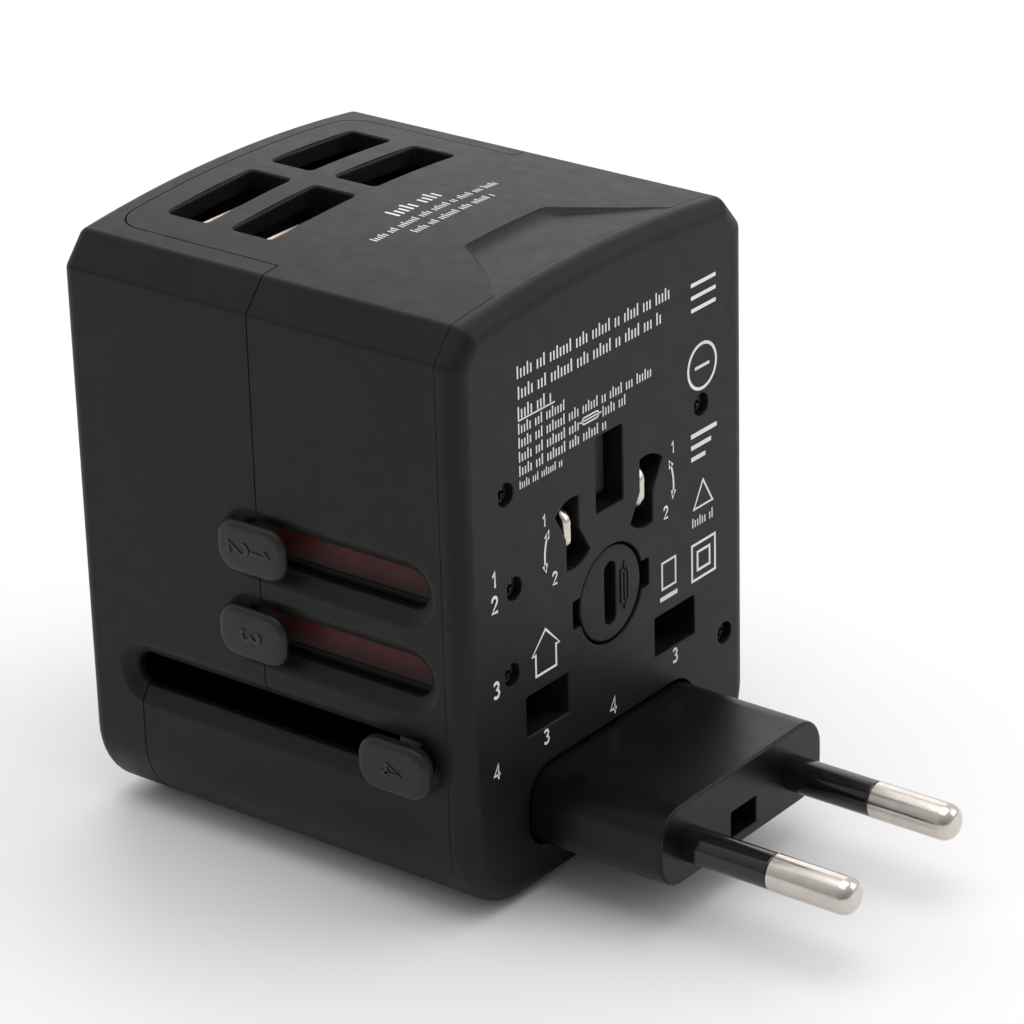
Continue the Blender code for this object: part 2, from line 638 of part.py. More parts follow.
def fuse():
    cap = solid("fuse_cap", "casing",
                rod(0, FUSE_LINE, FUSE_CAP_RADIUS, 0.15, 2.4, 32), pivot=(0, 0, FUSE_LINE))
    add(cap, rod(0, FUSE_LINE, 4.5, 2.0, 7.4, 24),
        box((-5.9, 3.2, FUSE_LINE - 1.3), (5.9, 4.5, FUSE_LINE + 1.3)))
    cut(cap, prism(rounded((-1.0, FUSE_LINE - 3.6), (1.0, FUSE_LINE + 3.6), 0.99, 3), "depth", -1, 1.5))
    ends = (8.0, 13.0, 28.4, 33.4)
    solid("fuse_end_front", "nickel", rod(0, FUSE_LINE, 3.15, ends[0], ends[1], 20))
    solid("fuse_tube", "ceramic", rod(0, FUSE_LINE, 2.9, ends[1] + GAP, ends[2] - GAP, 20))
    solid("fuse_end_rear", "nickel", rod(0, FUSE_LINE, 3.15, ends[2], ends[3], 20))
    for label, start in (("front", 9.0), ("rear", 29.0)):
        clip = solid(f"fuse_clip_{label}", "brass",
                     box((-4.1, start, FUSE_LINE - 4.1), (4.1, start + 3.4, FUSE_LINE + 2.6)))
        cut(clip, box((-3.5, start - 1, FUSE_LINE - 3.5), (3.5, start + 5, FUSE_LINE + 5)))


# ---- socket side ----

def socket_openings():
    """World-socket openings through the socket face: round, upright, level and leaning pins."""
    start, end = DEPTH - 5, DEPTH + 1
    openings = [box((-2.3, start, SOCKET_EARTH - 4.3), (2.3, end, SOCKET_EARTH + 4.3))]
    for side in (-1, 1):
        x = side * 9.4
        openings.append(rod(x, SOCKET_LINE, 2.7, start, end, 16))
        x = side * UK_HALF_PITCH
        openings.append(box((x - 3.7, start, SOCKET_LINE - 2.4), (x + 3.7, end, SOCKET_LINE + 2.4)))
        x = side * US_HALF_PITCH
        openings.append(box((x - 1.1, start, SOCKET_LINE - 4.2), (x + 1.1, end, SOCKET_LINE + 4.2)))
    return openings


def socket():
    outline = rounded((-SOCKET_HALF_WIDTH, SOCKET_LOW), (SOCKET_HALF_WIDTH, SOCKET_HIGH), 5.0)
    face = solid("socket_face", "casing", prism(outline, "depth", DEPTH - 3.2, DEPTH - 0.5))
    cut(face, *socket_openings())
    shutter_top = SOCKET_LINE + 4.6
    x, depth = SPRING_PLACE
    for side in (-1, 1):
        low, high = sorted((side * (x - 1.8), side * (x + 1.8)))
        add(face, box((low, depth - 1.4, SPRING_TOP + GAP), (high, DEPTH - 3.0, SPRING_TOP + 1.4)))
    for label, side in (("live", 1), ("neutral", -1)):
        inner, outer = 4.5, 15.9

        def span(a, b, depths, z_range):
            low, high = sorted((side * a, side * b))
            return box((low, depths[0], z_range[0]), (high, depths[1], z_range[1]))

        contact = solid(f"socket_contact_{label}", "brass", span(inner, outer, (36.0, 44.8), (18.9, 28.9)))
        cut(contact, span(inner + 0.6, outer - 0.6, (36.7, 50), (14, 34)))
        solid(f"{label}_busbar", "sleeve", span(8.0, 8.8, (7.0, 35.6), (24.7, 32.3)))
    solid("socket_shutter", "carriage",
          box((-15.6, depth - 0.7, SOCKET_LINE - 4.6), (15.6, depth + 0.7, shutter_top)))
    shutter_spring("shutter_spring_left", -x, depth, shutter_top + GAP)
    shutter_spring("shutter_spring_right", x, depth, shutter_top + GAP)


def shutter_spring(name, x, depth, low):
    """A coil spring that pushes the shutter down, drawn as a bevelled curve."""
    turns, per_turn, radius, wire = 7, 10, 1.0, 0.2
    curve = bpy.data.curves.new(name, 'CURVE')
    curve.dimensions = '3D'
    curve.bevel_depth = wire * MM
    curve.bevel_resolution = 1
    curve.use_fill_caps = True
    line = curve.splines.new('POLY')
    count = turns * per_turn
    line.points.add(count)
    for i, point in enumerate(line.points):
        angle = 2 * math.pi * i / per_turn
        z = low + wire + (SPRING_TOP - low - 2 * wire) * i / count
        point.co = (*world(x + radius * math.cos(angle), depth + radius * math.sin(angle), z), 1.0)
    made = bpy.data.objects.new(name, curve)
    curve.materials.append(material("steel"))
    bpy.context.scene.collection.objects.link(made)


# ---- electronics ----

def electronics():
    board = solid("power_board", "board", box((-19.6, 5.6, BOARD_LOW), (19.6, 46.2, BOARD_HIGH)))
    for side in (-1, 1):
        low, high = sorted((side * 15.6, side * 22))
        cut(board, box((low, 40.2, BOARD_LOW - 1), (high, 50, BOARD_HIGH + 1)))
    for number, (x, depth) in enumerate(usb_centres(), 1):
        usb_port(number, x, depth)
    base = BOARD_HIGH + GAP
    core = solid("transformer_core", "ferrite", box((-15.0, 7.5, base), (1.0, 21.5, base + 9.0)))
    cut(core, box((-12.6, 6, base + 1.9), (-1.4, 23, base + 7.1)))
    solid("transformer_winding", "winding",
          prism(rounded((-12.2, base + 2.3), (-1.8, base + 6.7), 1.2, 2), "depth", 8.3, 20.7))
    for label, x, depth, radius, height in (("input", 9.0, 12.6, 4.2, 8.6), ("output", 8.2, 22.0, 3.0, 8.0)):
        solid(f"{label}_capacitor", "plug_body",
              prism(circle((x, depth), radius, 20), "z", base, base + height))


def usb_port(number, x, depth):
    base, top = BOARD_HIGH + GAP, 62.5
    half_width, half_height, wall = 6.55, 2.85, 0.35
    shell = solid(f"usb_port_{number}", "nickel",
                  box((x - half_width, depth - half_height, base),
                      (x + half_width, depth + half_height, top)))
    cut(shell, box((x - half_width + wall, depth - half_height + wall, base + 0.8),
                   (x + half_width - wall, depth + half_height - wall, top + 1)))
    solid(f"usb_tongue_{number}", "contact_block",
          box((x - 5.6, depth - 2.0, base + 1.1), (x + 5.6, depth - 0.3, 60.3)))


def build():
    clear_scene()
    plug_face_plate()
    front_shell()
    rear_shell()
    screws()
    us_plug()
    uk_plug()
    eu_plug()
    fuse()
    socket()
    electronics()


build()
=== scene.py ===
"""Looks of the universal travel adapter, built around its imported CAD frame.

Lengths are in millimetres unless said otherwise. A "depth" is a distance behind the plug face, so the
plug face is at depth 0. -X is the side with the slider knobs and +Z the side with the USB ports.
"""
import math

import bmesh
import bpy
from mathutils import Matrix, Vector

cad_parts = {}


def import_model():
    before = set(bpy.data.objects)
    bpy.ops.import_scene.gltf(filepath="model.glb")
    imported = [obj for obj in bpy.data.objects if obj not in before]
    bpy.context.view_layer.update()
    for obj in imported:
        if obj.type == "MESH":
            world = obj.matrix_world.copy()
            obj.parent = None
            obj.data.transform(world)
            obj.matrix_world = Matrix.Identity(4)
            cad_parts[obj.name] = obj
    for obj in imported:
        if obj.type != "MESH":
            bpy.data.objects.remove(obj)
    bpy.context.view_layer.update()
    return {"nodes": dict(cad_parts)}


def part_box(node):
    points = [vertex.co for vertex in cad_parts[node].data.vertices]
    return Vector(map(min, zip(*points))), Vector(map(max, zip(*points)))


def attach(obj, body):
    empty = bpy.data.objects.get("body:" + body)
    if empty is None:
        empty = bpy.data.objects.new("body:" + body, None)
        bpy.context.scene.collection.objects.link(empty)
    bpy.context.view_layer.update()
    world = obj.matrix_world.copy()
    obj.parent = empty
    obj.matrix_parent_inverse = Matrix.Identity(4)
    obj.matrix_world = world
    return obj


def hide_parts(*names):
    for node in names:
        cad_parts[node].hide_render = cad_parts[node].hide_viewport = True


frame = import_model()

MM = 0.001
FACE_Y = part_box("plug_face_plate")[0].y


def world(x, depth, z):
    """A point in metres, from millimetres across, behind the plug face and up."""
    return (x * MM, FACE_Y + depth * MM, z * MM)


def extent(node):
    """The low and high corners of a CAD node, as x, depth and z."""
    return [Vector((c.x / MM, (c.y - FACE_Y) / MM, c.z / MM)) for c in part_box(node)]


def middle(node):
    low, high = extent(node)
    return (low + high) / 2


# Casing
PLATE_HIGH = extent("plug_face_plate")[1]
REAR_LOW, REAR_HIGH = extent("rear_shell")
HALF = PLATE_HIGH.x
PLATE_BACK = PLATE_HIGH.y
DEPTH = REAR_HIGH.y
CROWN = 1.35
EDGE_HEIGHT = extent("front_shell")[1].z - CROWN
CHAMFER_WIDTH = 2.8
CHAMFER_DROP = 3.3
CHAMFER_SOFTNESS = 0.8
BOTTOM_RADIUS = 9.0
EDGE_RADIUS = 2.0
REAR_EDGE_RADIUS = 1.5
REAR_BOTTOM_RADIUS = 4.5
WALL = 2.0
CAVITY_START = 4.9
CAVITY_END = DEPTH - 2.2
SEAM = REAR_LOW.y
SEAM_GAP = 0.13
TONGUE_HALF = 19.35
TONGUE_END = 48.45
TONGUE_LOW = 62.0
TONGUE_RADIUS = 3.2
SHELF_END = 43.75
EU_SLOT_LINE = 17.25

# Slots for the sliders: height of the middle, start and end in depth, height
SLOTS = {
    "us": (36.35, 5.1, 29.6, 4.35),
    "uk": (26.7, 5.1, 29.6, 4.45),
    "eu": (EU_SLOT_LINE, 5.1, 44.9, 3.95),
}
# The dished rim round a slot: how far outside the slot, and how deep
SLOT_RIM = [(1.75, 0.0), (1.55, 0.04), (1.2, 0.2), (0.75, 0.52), (0.35, 0.84), (0.12, 1.0), (0.0, 1.25)]

US_LINE = middle("us_blade_left").z
US_HALF_PITCH = middle("us_blade_right").x
US_TURN = 30
UK_LINE = middle("uk_pin_live").z
UK_HALF_PITCH = middle("uk_pin_live").x
UK_EARTH = middle("uk_earth_pin").z
FUSE_LINE = middle("fuse_cap").z
FUSE_RADIUS = extent("fuse_cap")[1].z - FUSE_LINE
EU_LINE = middle("eu_pin_live").z
FACE_SCREWS = [f"face_screw_{number}" for number in range(1, 6)]
CASING_SCREWS = [f"casing_screw_{number}" for number in range(1, 5)]
# The socket's contacts sit a little above the middle of its live and neutral openings
SOCKET_LINE = middle("socket_contact_live").z - 0.4

# European plug body
EU_BODY_TOP = 13.6
EU_BODY_RADIUS = 3.6
EU_POCKET = ((-2.1, 5.9), (2.4, 8.9))
EU_ARM_START = 5.2

# Knobs. The room under a pad is the press travel and a little clearance
PRESS_ROOM = 0.9
PAD_CORNER = 2.3
PAD_EDGE = 0.85
STEM_DROP = 1.37
EU_STEM_SHIFT = 0.9
NECK_HALF_LENGTH = 1.3
STRIP_SLIT = 0.03

# Rounding at the mouth of an opening, steps in a quarter turn and in half of the crown
RIM = 0.18
FINE = 8
CROWN_STEPS = 16
# How far outside a face a cutter starts
BEYOND = 1.5


# ---- outlines ----

def filleted(corners, steps=FINE):
    """An outline from corners given as (x, y, radius): a corner that has a radius becomes an arc."""
    points = []
    for i, (x, y, radius) in enumerate(corners):
        here = Vector((x, y))
        if radius <= 0:
            points.append((x, y))
            continue
        back = (Vector(corners[i - 1][:2]) - here).normalized()
        ahead = (Vector(corners[(i + 1) % len(corners)][:2]) - here).normalized()
        half_turn = back.angle(ahead) / 2
        centre = here + (back + ahead).normalized() * radius / math.sin(half_turn)
        arm = here + back * radius / math.tan(half_turn) - centre
        way = 1 if back.x * ahead.y - back.y * ahead.x < 0 else -1
        for k in range(steps + 1):
            angle = way * (math.pi - 2 * half_turn) * k / steps
            points.append((centre.x + arm.x * math.cos(angle) - arm.y * math.sin(angle),
                           centre.y + arm.x * math.sin(angle) + arm.y * math.cos(angle)))
    return points


def rounded(low, high, radius, steps=FINE):
    return filleted([(high[0], low[1], radius), (high[0], high[1], radius),
                     (low[0], high[1], radius), (low[0], low[1], radius)], steps)


def circle(centre, radius, segments=48):
    step = 2 * math.pi / segments
    return [(centre[0] + radius * math.cos(step * i), centre[1] + radius * math.sin(step * i))
            for i in range(segments)]


def moved_out(points, distance):
    """An anticlockwise outline with every edge moved outwards."""
    if not distance:
        return points
    result = []
    count = len(points)
    for i in range(count):
        before, here, after = (Vector(points[k % count]) for k in (i - 1, i, i + 1))
        first, second = (here - before).normalized(), (after - here).normalized()
        normal = Vector((first.y, -first.x)) + Vector((second.y, -second.x))
        result.append(tuple(here + normal * distance / (1 + first.dot(second))))
    return result


def crown(x):
    """Height of the casing's top at x."""
    return EDGE_HEIGHT + CROWN * (1 - (x / (HALF - CHAMFER_WIDTH)) ** 2)


def casing_ring(inset=0.0):
    """The casing seen from the front, as x and z: rounded below, chamfered and crowned on top."""
    slope = math.hypot(CHAMFER_WIDTH, CHAMFER_DROP)
    start_x = HALF - inset * CHAMFER_DROP / slope
    start_z = EDGE_HEIGHT - CHAMFER_DROP - inset * CHAMFER_WIDTH / slope
    low = start_z + CHAMFER_DROP * (start_x - HALF + inset) / CHAMFER_WIDTH
    top_half = start_x - CHAMFER_WIDTH * (EDGE_HEIGHT - inset - start_z) / CHAMFER_DROP
    right = [(HALF - inset, low, CHAMFER_SOFTNESS), (top_half, EDGE_HEIGHT - inset, CHAMFER_SOFTNESS)]
    for i in range(1, CROWN_STEPS + 1):
        x = top_half * (1 - i / CROWN_STEPS)
        right.append((x, EDGE_HEIGHT - inset + CROWN * (1 - (x / top_half) ** 2), 0))
    left = [(-x, z, radius) for x, z, radius in reversed(right[:-1])]
    foot = BOTTOM_RADIUS - inset
    return filleted([(HALF - inset, inset, foot), *right, *left, (inset - HALF, inset, foot)], 2 * FINE)


def blade_opening(side):
    """The bow-tie that a blade needs to stand upright or lean outwards, with its ends as arcs."""
    half_width, reach = 1.05, 3.95
    spread = math.asin(half_width / reach)
    lean = math.radians(US_TURN)
    waist = half_width / math.cos(lean / 2)

    def arc(first, last):
        steps = 6
        angles = [first + (last - first) * i / steps for i in range(steps + 1)]
        return [(reach * math.sin(angle), reach * math.cos(angle)) for angle in angles]

    right_waist = (waist * math.cos(lean / 2), -waist * math.sin(lean / 2))
    points = [*arc(-spread, lean + spread), right_waist,
              *arc(math.pi - spread, math.pi + lean + spread), (-right_waist[0], -right_waist[1])]
    points = [(side * (US_HALF_PITCH + x), US_LINE + z) for x, z in points]
    return points if side < 0 else points[::-1]


# ---- meshes ----

# A face counts as level, and is shaded flat, when its normal lies this near an axis
LEVEL = 0.99999


def loft(bm, rings):
    """Join rings of points, all of one count, into a solid with flat ends."""
    loops = [[bm.verts.new(world(*point)) for point in ring] for ring in rings]
    count = len(loops[0])
    for near, far in zip(loops, loops[1:]):
        for i in range(count):
            j = (i + 1) % count
            bm.faces.new((near[i], near[j], far[j], far[i]))
    bm.faces.new(loops[0])
    bm.faces.new(loops[-1])


def made_of(name, *makers):
    """A mesh object from functions that each add a closed solid to a bmesh."""
    bm = bmesh.new()
    for maker in makers:
        maker(bm)
    bmesh.ops.recalc_face_normals(bm, faces=bm.faces)
    mesh = bpy.data.meshes.new(name)
    bm.to_mesh(mesh)
    bm.free()
    made = bpy.data.objects.new(name, mesh)
    bpy.context.scene.collection.objects.link(made)
    return made


def through(rings):
    return lambda bm: loft(bm, rings)


def box(low, high):
    corners = [(low[0], low[1]), (high[0], low[1]), (high[0], high[1]), (low[0], high[1])]
    return through([[(x, depth, z) for x, depth in corners] for z in (low[2], high[2])])


def on_front(point, inwards):
    return (point[0], inwards, point[1])


def on_back(point, inwards):
    return (point[0], DEPTH - inwards, point[1])


def on_left(point, inwards):
    return (inwards - HALF, point[0], point[1])


def on_top(point, inwards):
    return (point[0], point[1], crown(point[0]) - inwards)


def stepped(outline, place, profile):
    """A solid on an outline, from pairs of how far outside the outline and how far inwards."""
    return through([[place(point, inwards) for point in moved_out(outline, distance)]
                    for distance, inwards in profile])


def rounded_over(radius, face, steps):
    """Pairs for stepped that round the edge of a face."""
    angles = [math.radians(90 * i / steps) for i in range(steps + 1)]
    return [(-radius * (1 - math.sin(a)), face + radius * (1 - math.cos(a))) for a in angles]


def opening(outline, place, depth, rim=RIM, face=0.0, steps=5):
    """A cutter for an opening with a rounded rim."""
    profile = []
    for i in range(steps + 1):
        angle = math.radians(12 + 78 * i / steps)
        profile.append((rim * (1 - math.sin(angle)), face + rim * (1 - math.cos(angle))))
    return stepped(outline, place, [(profile[0][0], face - BEYOND), *profile, (0.0, depth)])


def carve(target, *groups):
    """Cut groups of solids out of the target and keep the result as a plain mesh."""
    tools = [made_of("tool", *group) for group in groups]
    for tool in tools:
        step = target.modifiers.new("cut", 'BOOLEAN')
        step.operation = 'DIFFERENCE'
        step.solver = 'EXACT'
        step.object = tool
    depsgraph = bpy.context.evaluated_depsgraph_get()
    mesh = bpy.data.meshes.new_from_object(target.evaluated_get(depsgraph))
    mesh.name = target.name
    target.modifiers.clear()
    target.data = mesh
    for tool in tools:
        bpy.data.objects.remove(tool, do_unlink=True)


def show(made, finish, slot, body, *nodes, sharp=34):
    """Shade a piece, give it its material, let it ride on a body and stand for CAD nodes."""
    made.data.shade_smooth()
    made.data.set_sharp_from_angle(angle=math.radians(sharp))
    for face in made.data.polygons:
        if max(abs(part) for part in face.normal) > LEVEL:
            face.use_smooth = False
    weighted = made.modifiers.new("weighted normals", 'WEIGHTED_NORMAL')
    weighted.weight = 100
    weighted.keep_sharp = True
    made.data.materials.clear()
    made.data.materials.append(finish)
    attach(made, body)
    if nodes:
        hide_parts(*nodes)


# ---- materials ----

class Finish:
    """A material whose colour, roughness and bump come from noise at the object's own scale."""

    def __init__(self, name, roughness, metallic=0.0, specular=0.5):
        self.material = bpy.data.materials.new(name)
        self.material.use_nodes = True
        self.tree = self.material.node_tree
        self.shader = self.tree.nodes["Principled BSDF"]
        self.shader.inputs["Metallic"].default_value = metallic
        self.shader.inputs["Specular IOR Level"].default_value = specular
        self.place = self.tree.nodes.new("ShaderNodeTexCoord").outputs["Object"]
        self.roughness = roughness
        self.last_bump = None

    def link(self, out, into):
        self.tree.links.new(out, into)

    def noise(self, size, detail=3.0, stretch=(1, 1, 1)):
        """Noise whose spots are about this many millimetres wide."""
        mapping = self.tree.nodes.new("ShaderNodeMapping")
        mapping.inputs["Scale"].default_value = [1 / (size * MM * s) for s in stretch]
        self.link(self.place, mapping.inputs["Vector"])
        texture = self.tree.nodes.new("ShaderNodeTexNoise")
        texture.inputs["Scale"].default_value = 1.0
        texture.inputs["Detail"].default_value = detail
        self.link(mapping.outputs["Vector"], texture.inputs["Vector"])
        return texture.outputs["Fac"]

    def ramp(self, source, low, high, first=0.35, last=0.65):
        """Map a value between two stops to a grey or a colour between low and high."""
        node = self.tree.nodes.new("ShaderNodeValToRGB")
        stops = node.color_ramp.elements
        stops[0].position, stops[1].position = first, last
        stops[0].color = (*low, 1.0)
        stops[1].color = (*high, 1.0)
        self.link(source, node.inputs["Fac"])
        return node.outputs["Color"]

    def colour(self, source, low, high, worn=None):
        """Colour between low and high by a noise, and the worn colour on the sharpest edges."""
        colour = self.ramp(source, low, high)
        if worn:
            mix = self.tree.nodes.new("ShaderNodeMix")
            mix.data_type = 'RGBA'
            pointed = self.tree.nodes.new("ShaderNodeNewGeometry").outputs["Pointiness"]
            edge = self.ramp(pointed, (0, 0, 0), (1, 1, 1), 0.53, 0.62)
            self.link(edge, mix.inputs["Factor"])
            self.link(colour, mix.inputs[6])
            mix.inputs[7].default_value = (*worn, 1.0)
            colour = mix.outputs[2]
        self.link(colour, self.shader.inputs["Base Color"])
        return self

    def painted_shade_by_height(self, low, high, first, last):
        """Colour that runs from low to high between two heights in millimetres, used to paint shade that
        darkens towards the bottom.
        """
        parts = self.tree.nodes.new("ShaderNodeSeparateXYZ")
        self.link(self.place, parts.inputs["Vector"])
        share = self.tree.nodes.new("ShaderNodeMapRange")
        share.inputs["From Min"].default_value = first * MM
        share.inputs["From Max"].default_value = last * MM
        self.link(parts.outputs["Z"], share.inputs["Value"])
        self.link(self.ramp(share.outputs["Result"], low, high, 0.0, 1.0), self.shader.inputs["Base Color"])
        return self

    def uneven(self, source, spread):
        grey = [self.roughness - spread, self.roughness + spread]
        level = self.ramp(source, (grey[0],) * 3, (grey[1],) * 3)
        self.link(level, self.shader.inputs["Roughness"])
        return self

    def bump(self, source, height, strength=1.0):
        """Relief of this many millimetres."""
        node = self.tree.nodes.new("ShaderNodeBump")
        node.inputs["Distance"].default_value = height * MM
        node.inputs["Strength"].default_value = strength
        self.link(source, node.inputs["Height"])
        if self.last_bump:
            self.link(self.last_bump, node.inputs["Normal"])
        self.last_bump = node.outputs["Normal"]
        self.link(self.last_bump, self.shader.inputs["Normal"])
        return self


def plastic(name, low, high, worn, roughness, grain, specular):
    made = Finish(name, roughness, specular=specular)
    patches, specks = made.noise(9.0), made.noise(0.28, 2.0)
    made.colour(patches, low, high, worn)
    made.uneven(made.noise(2.2), 0.025)
    made.bump(specks, grain, 0.5)
    return made.material


def metal(name, low, high, roughness, stretch=(1, 12, 1), scratch=0.0015):
    made = Finish(name, roughness, metallic=1.0)
    made.colour(made.noise(1.6), low, high)
    made.uneven(made.noise(0.5, 3.0, stretch), 0.07)
    made.bump(made.noise(0.12, 2.0, stretch), scratch, 0.6)
    return made.material


def grey(level):
    return (level, level, level)


CASING = plastic("casing_plastic", grey(0.0060), grey(0.0075), None, 0.47, 0.006, 0.22)
KNOB = plastic("knob_plastic", grey(0.009), grey(0.012), grey(0.026), 0.42, 0.006, 0.34)
BODY = plastic("plug_body_plastic", grey(0.003), grey(0.0045), None, 0.32, 0.003, 0.24)
SLEEVE = plastic("sleeve_plastic", grey(0.003), grey(0.005), grey(0.01), 0.12, 0.001, 0.55)
CARRIAGE = plastic("carriage_plastic", grey(0.012), grey(0.018), grey(0.03), 0.5, 0.005, 0.3)
INNER_BLACK = plastic("inner_plastic", grey(0.012), grey(0.018), grey(0.03), 0.5, 0.005, 0.3)
PRINT = plastic("print_ink", grey(0.76), grey(0.88), None, 0.6, 0.002, 0.3)
CERAMIC = plastic("fuse_ceramic", (0.74, 0.72, 0.66), (0.82, 0.80, 0.74), (0.6, 0.58, 0.5), 0.4, 0.002, 0.5)
BOARD = plastic("board_laminate", (0.012, 0.09, 0.035), (0.02, 0.13, 0.05), (0.2, 0.2, 0.1),
                0.42, 0.004, 0.5)
FERRITE = plastic("ferrite_core", grey(0.03), grey(0.05), grey(0.09), 0.7, 0.01, 0.4)
NICKEL = metal("nickel_plate", (0.60, 0.555, 0.51), (0.66, 0.61, 0.565), 0.2, scratch=0.0006)
BRASS = metal("brass_sheet", (0.66, 0.46, 0.20), (0.80, 0.60, 0.32), 0.34)
STEEL = metal("screw_steel", (0.06, 0.06, 0.063), (0.12, 0.12, 0.125), 0.38, (1, 1, 1), 0.002)
COPPER = metal("copper_wire", (0.62, 0.28, 0.12), (0.78, 0.40, 0.20), 0.4, (1, 0.15, 1), 0.02)


def strip(name):
    """The red strip behind a slot, which falls off to black below the slot's middle: that darkening is
    painted shade.
    """
    line = SLOTS[name][0]
    made = Finish(f"{name}_strip_painted_shade", 0.5, specular=0.2)
    # Painted shade: the strip runs from red at the top to black at the bottom.
    made.painted_shade_by_height((0.002, 0.002, 0.002), (0.06, 0.008, 0.009), line - 1.7, line + 1.3)
    made.uneven(made.noise(1.5), 0.05)
    made.bump(made.noise(0.25, 2.0), 0.004, 0.5)
    return made.material


def dress_frame():
    """Materials for the CAD nodes. Those of the red strips are replaced, so they need no finish here."""
    finishes = {
        "steel": STEEL, "brass": BRASS, "nickel": NICKEL, "board": BOARD, "ferrite": FERRITE,
        "winding": COPPER, "ceramic": CERAMIC, "contact_block": INNER_BLACK, "carriage": CARRIAGE,
        "plug_body": BODY, "sleeve": SLEEVE, "casing": CASING,
    }
    for node in frame["nodes"].values():
        for place in node.material_slots:
            base = place.material.name.split(".")[0]
            place.material = finishes.get(base, INNER_BLACK)


# ---- casing ----

def end_rounding(depth, way, radius, steps=FINE):
    """Depth and inset along a rounded end: way is 1 at the front and -1 at the back."""
    angles = [math.radians(90 * i / steps) for i in range(steps + 1)]
    return [(depth + way * radius * (1 - math.cos(a)), radius * (1 - math.sin(a))) for a in angles]


def casing_solid(stations):
    return through([[(x, depth, z) for x, z in casing_ring(inset)] for depth, inset in stations])


def cavity():
    return casing_solid([(CAVITY_START, WALL), (CAVITY_END, WALL)])


def top_dish(bm):
    """The shallow hollow that runs off the front edge of the top, wider towards the front."""
    bank = 1.5
    rings = []
    for depth, half, floor in ((1.2, 15.2, -0.15), (2.4, 14.6, 0.03), (6.0, 10.8, 0.3), (10.8, 6.9, 0.6),
                               (11.7, 6.5, 0.5), (12.5, 6.1, 0.15), (13.0, 6.0, -0.25)):
        ring = []
        across = [-1.0, -0.75, -0.5, -0.25, 0.0]
        for edge in across:
            rise = 0.5 - 0.5 * math.cos(math.pi * (1 + edge))
            ring.append((-half + edge * bank, floor * rise - 0.25 * (1 - rise)))
        ring += [(half * step / 5, floor) for step in range(-4, 5)]
        ring += [(-x, drop) for x, drop in reversed(ring[:5])]
        bottom = [(x, depth, crown(x) - drop) for x, drop in ring]
        top = [(ring[-1][0], depth, EDGE_HEIGHT + 5), (ring[0][0], depth, EDGE_HEIGHT + 5)]
        rings.append(bottom + top)
    loft(bm, rings)


def slot_cutters():
    profile = [(SLOT_RIM[0][0], -BEYOND), *SLOT_RIM, (0.0, WALL + 1)]
    cutters = []
    for line, start, end, height in SLOTS.values():
        outline = rounded((start, line - height / 2), (end, line + height / 2), height / 2 - 0.01)
        cutters.append(stepped(outline, on_left, profile))
    return cutters


def pin_openings():
    """Outlines of the openings for pins in the plug face."""
    outlines = [rounded((-2.3, UK_EARTH - 4.2), (2.3, UK_EARTH + 4.2), 0.2, 3)]
    for side in (-1, 1):
        x = side * UK_HALF_PITCH
        outlines.append(rounded((x - 3.55, UK_LINE - 2.25), (x + 3.55, UK_LINE + 2.25), 0.2, 3))
        outlines.append(blade_opening(side))
    return outlines


def plug_body_outline(grow=0.0):
    low, high = extent("eu_plug_body")
    return rounded((-high.x - grow, low.z - grow), (high.x + grow, EU_BODY_TOP + grow), EU_BODY_RADIUS + grow)


def face_plate():
    made = made_of("face_plate", casing_solid([*end_rounding(0, 1, EDGE_RADIUS), (PLATE_BACK - 0.05, 0.0),
                                               (PLATE_BACK, 0.05)]))
    through_all = PLATE_BACK + 1
    lugs = rounded((-6.6, FUSE_LINE - 1.6), (6.6, FUSE_LINE + 1.6), 0.3, 3)
    holes = [opening(outline, on_front, through_all) for outline in pin_openings()]
    holes.append(opening(plug_body_outline(0.3), on_front, through_all))
    holes.append(opening(circle((0, FUSE_LINE), FUSE_RADIUS + 0.25, 64), on_front, through_all))
    wells = []
    for name in FACE_SCREWS:
        spot = middle(name)
        wells.append(opening(circle((spot.x, spot.z), 1.25, 24), on_front, 1.45, 0.12))
    bores = [stepped(circle((middle(name).x, middle(name).z), 0.95, 16), on_front,
                     [(0, 1.0), (0, through_all)]) for name in FACE_SCREWS]
    carve(made, holes, wells, bores, [opening(lugs, on_front, through_all, 0.12)], [top_dish])
    show(made, CASING, "casing", "casing", "plug_face_plate")


def beside_tongue(side, half, end):
    """What lies beside the tongue that carries the USB mouths, and round its rear corner."""
    outline = [(side * half, SEAM - SEAM_GAP)]
    for i in range(FINE + 1):
        angle = math.radians(90 * i / FINE)
        outline.append((side * (half - TONGUE_RADIUS + TONGUE_RADIUS * math.cos(angle)),
                        end - TONGUE_RADIUS + TONGUE_RADIUS * math.sin(angle)))
    outline += [(side * (half - TONGUE_RADIUS), end + 3), (side * (HALF + 1), end + 3),
                (side * (HALF + 1), SEAM - SEAM_GAP)]
    return through([[(x, depth, z) for x, depth in outline] for z in (TONGUE_LOW - 0.4, 75)])


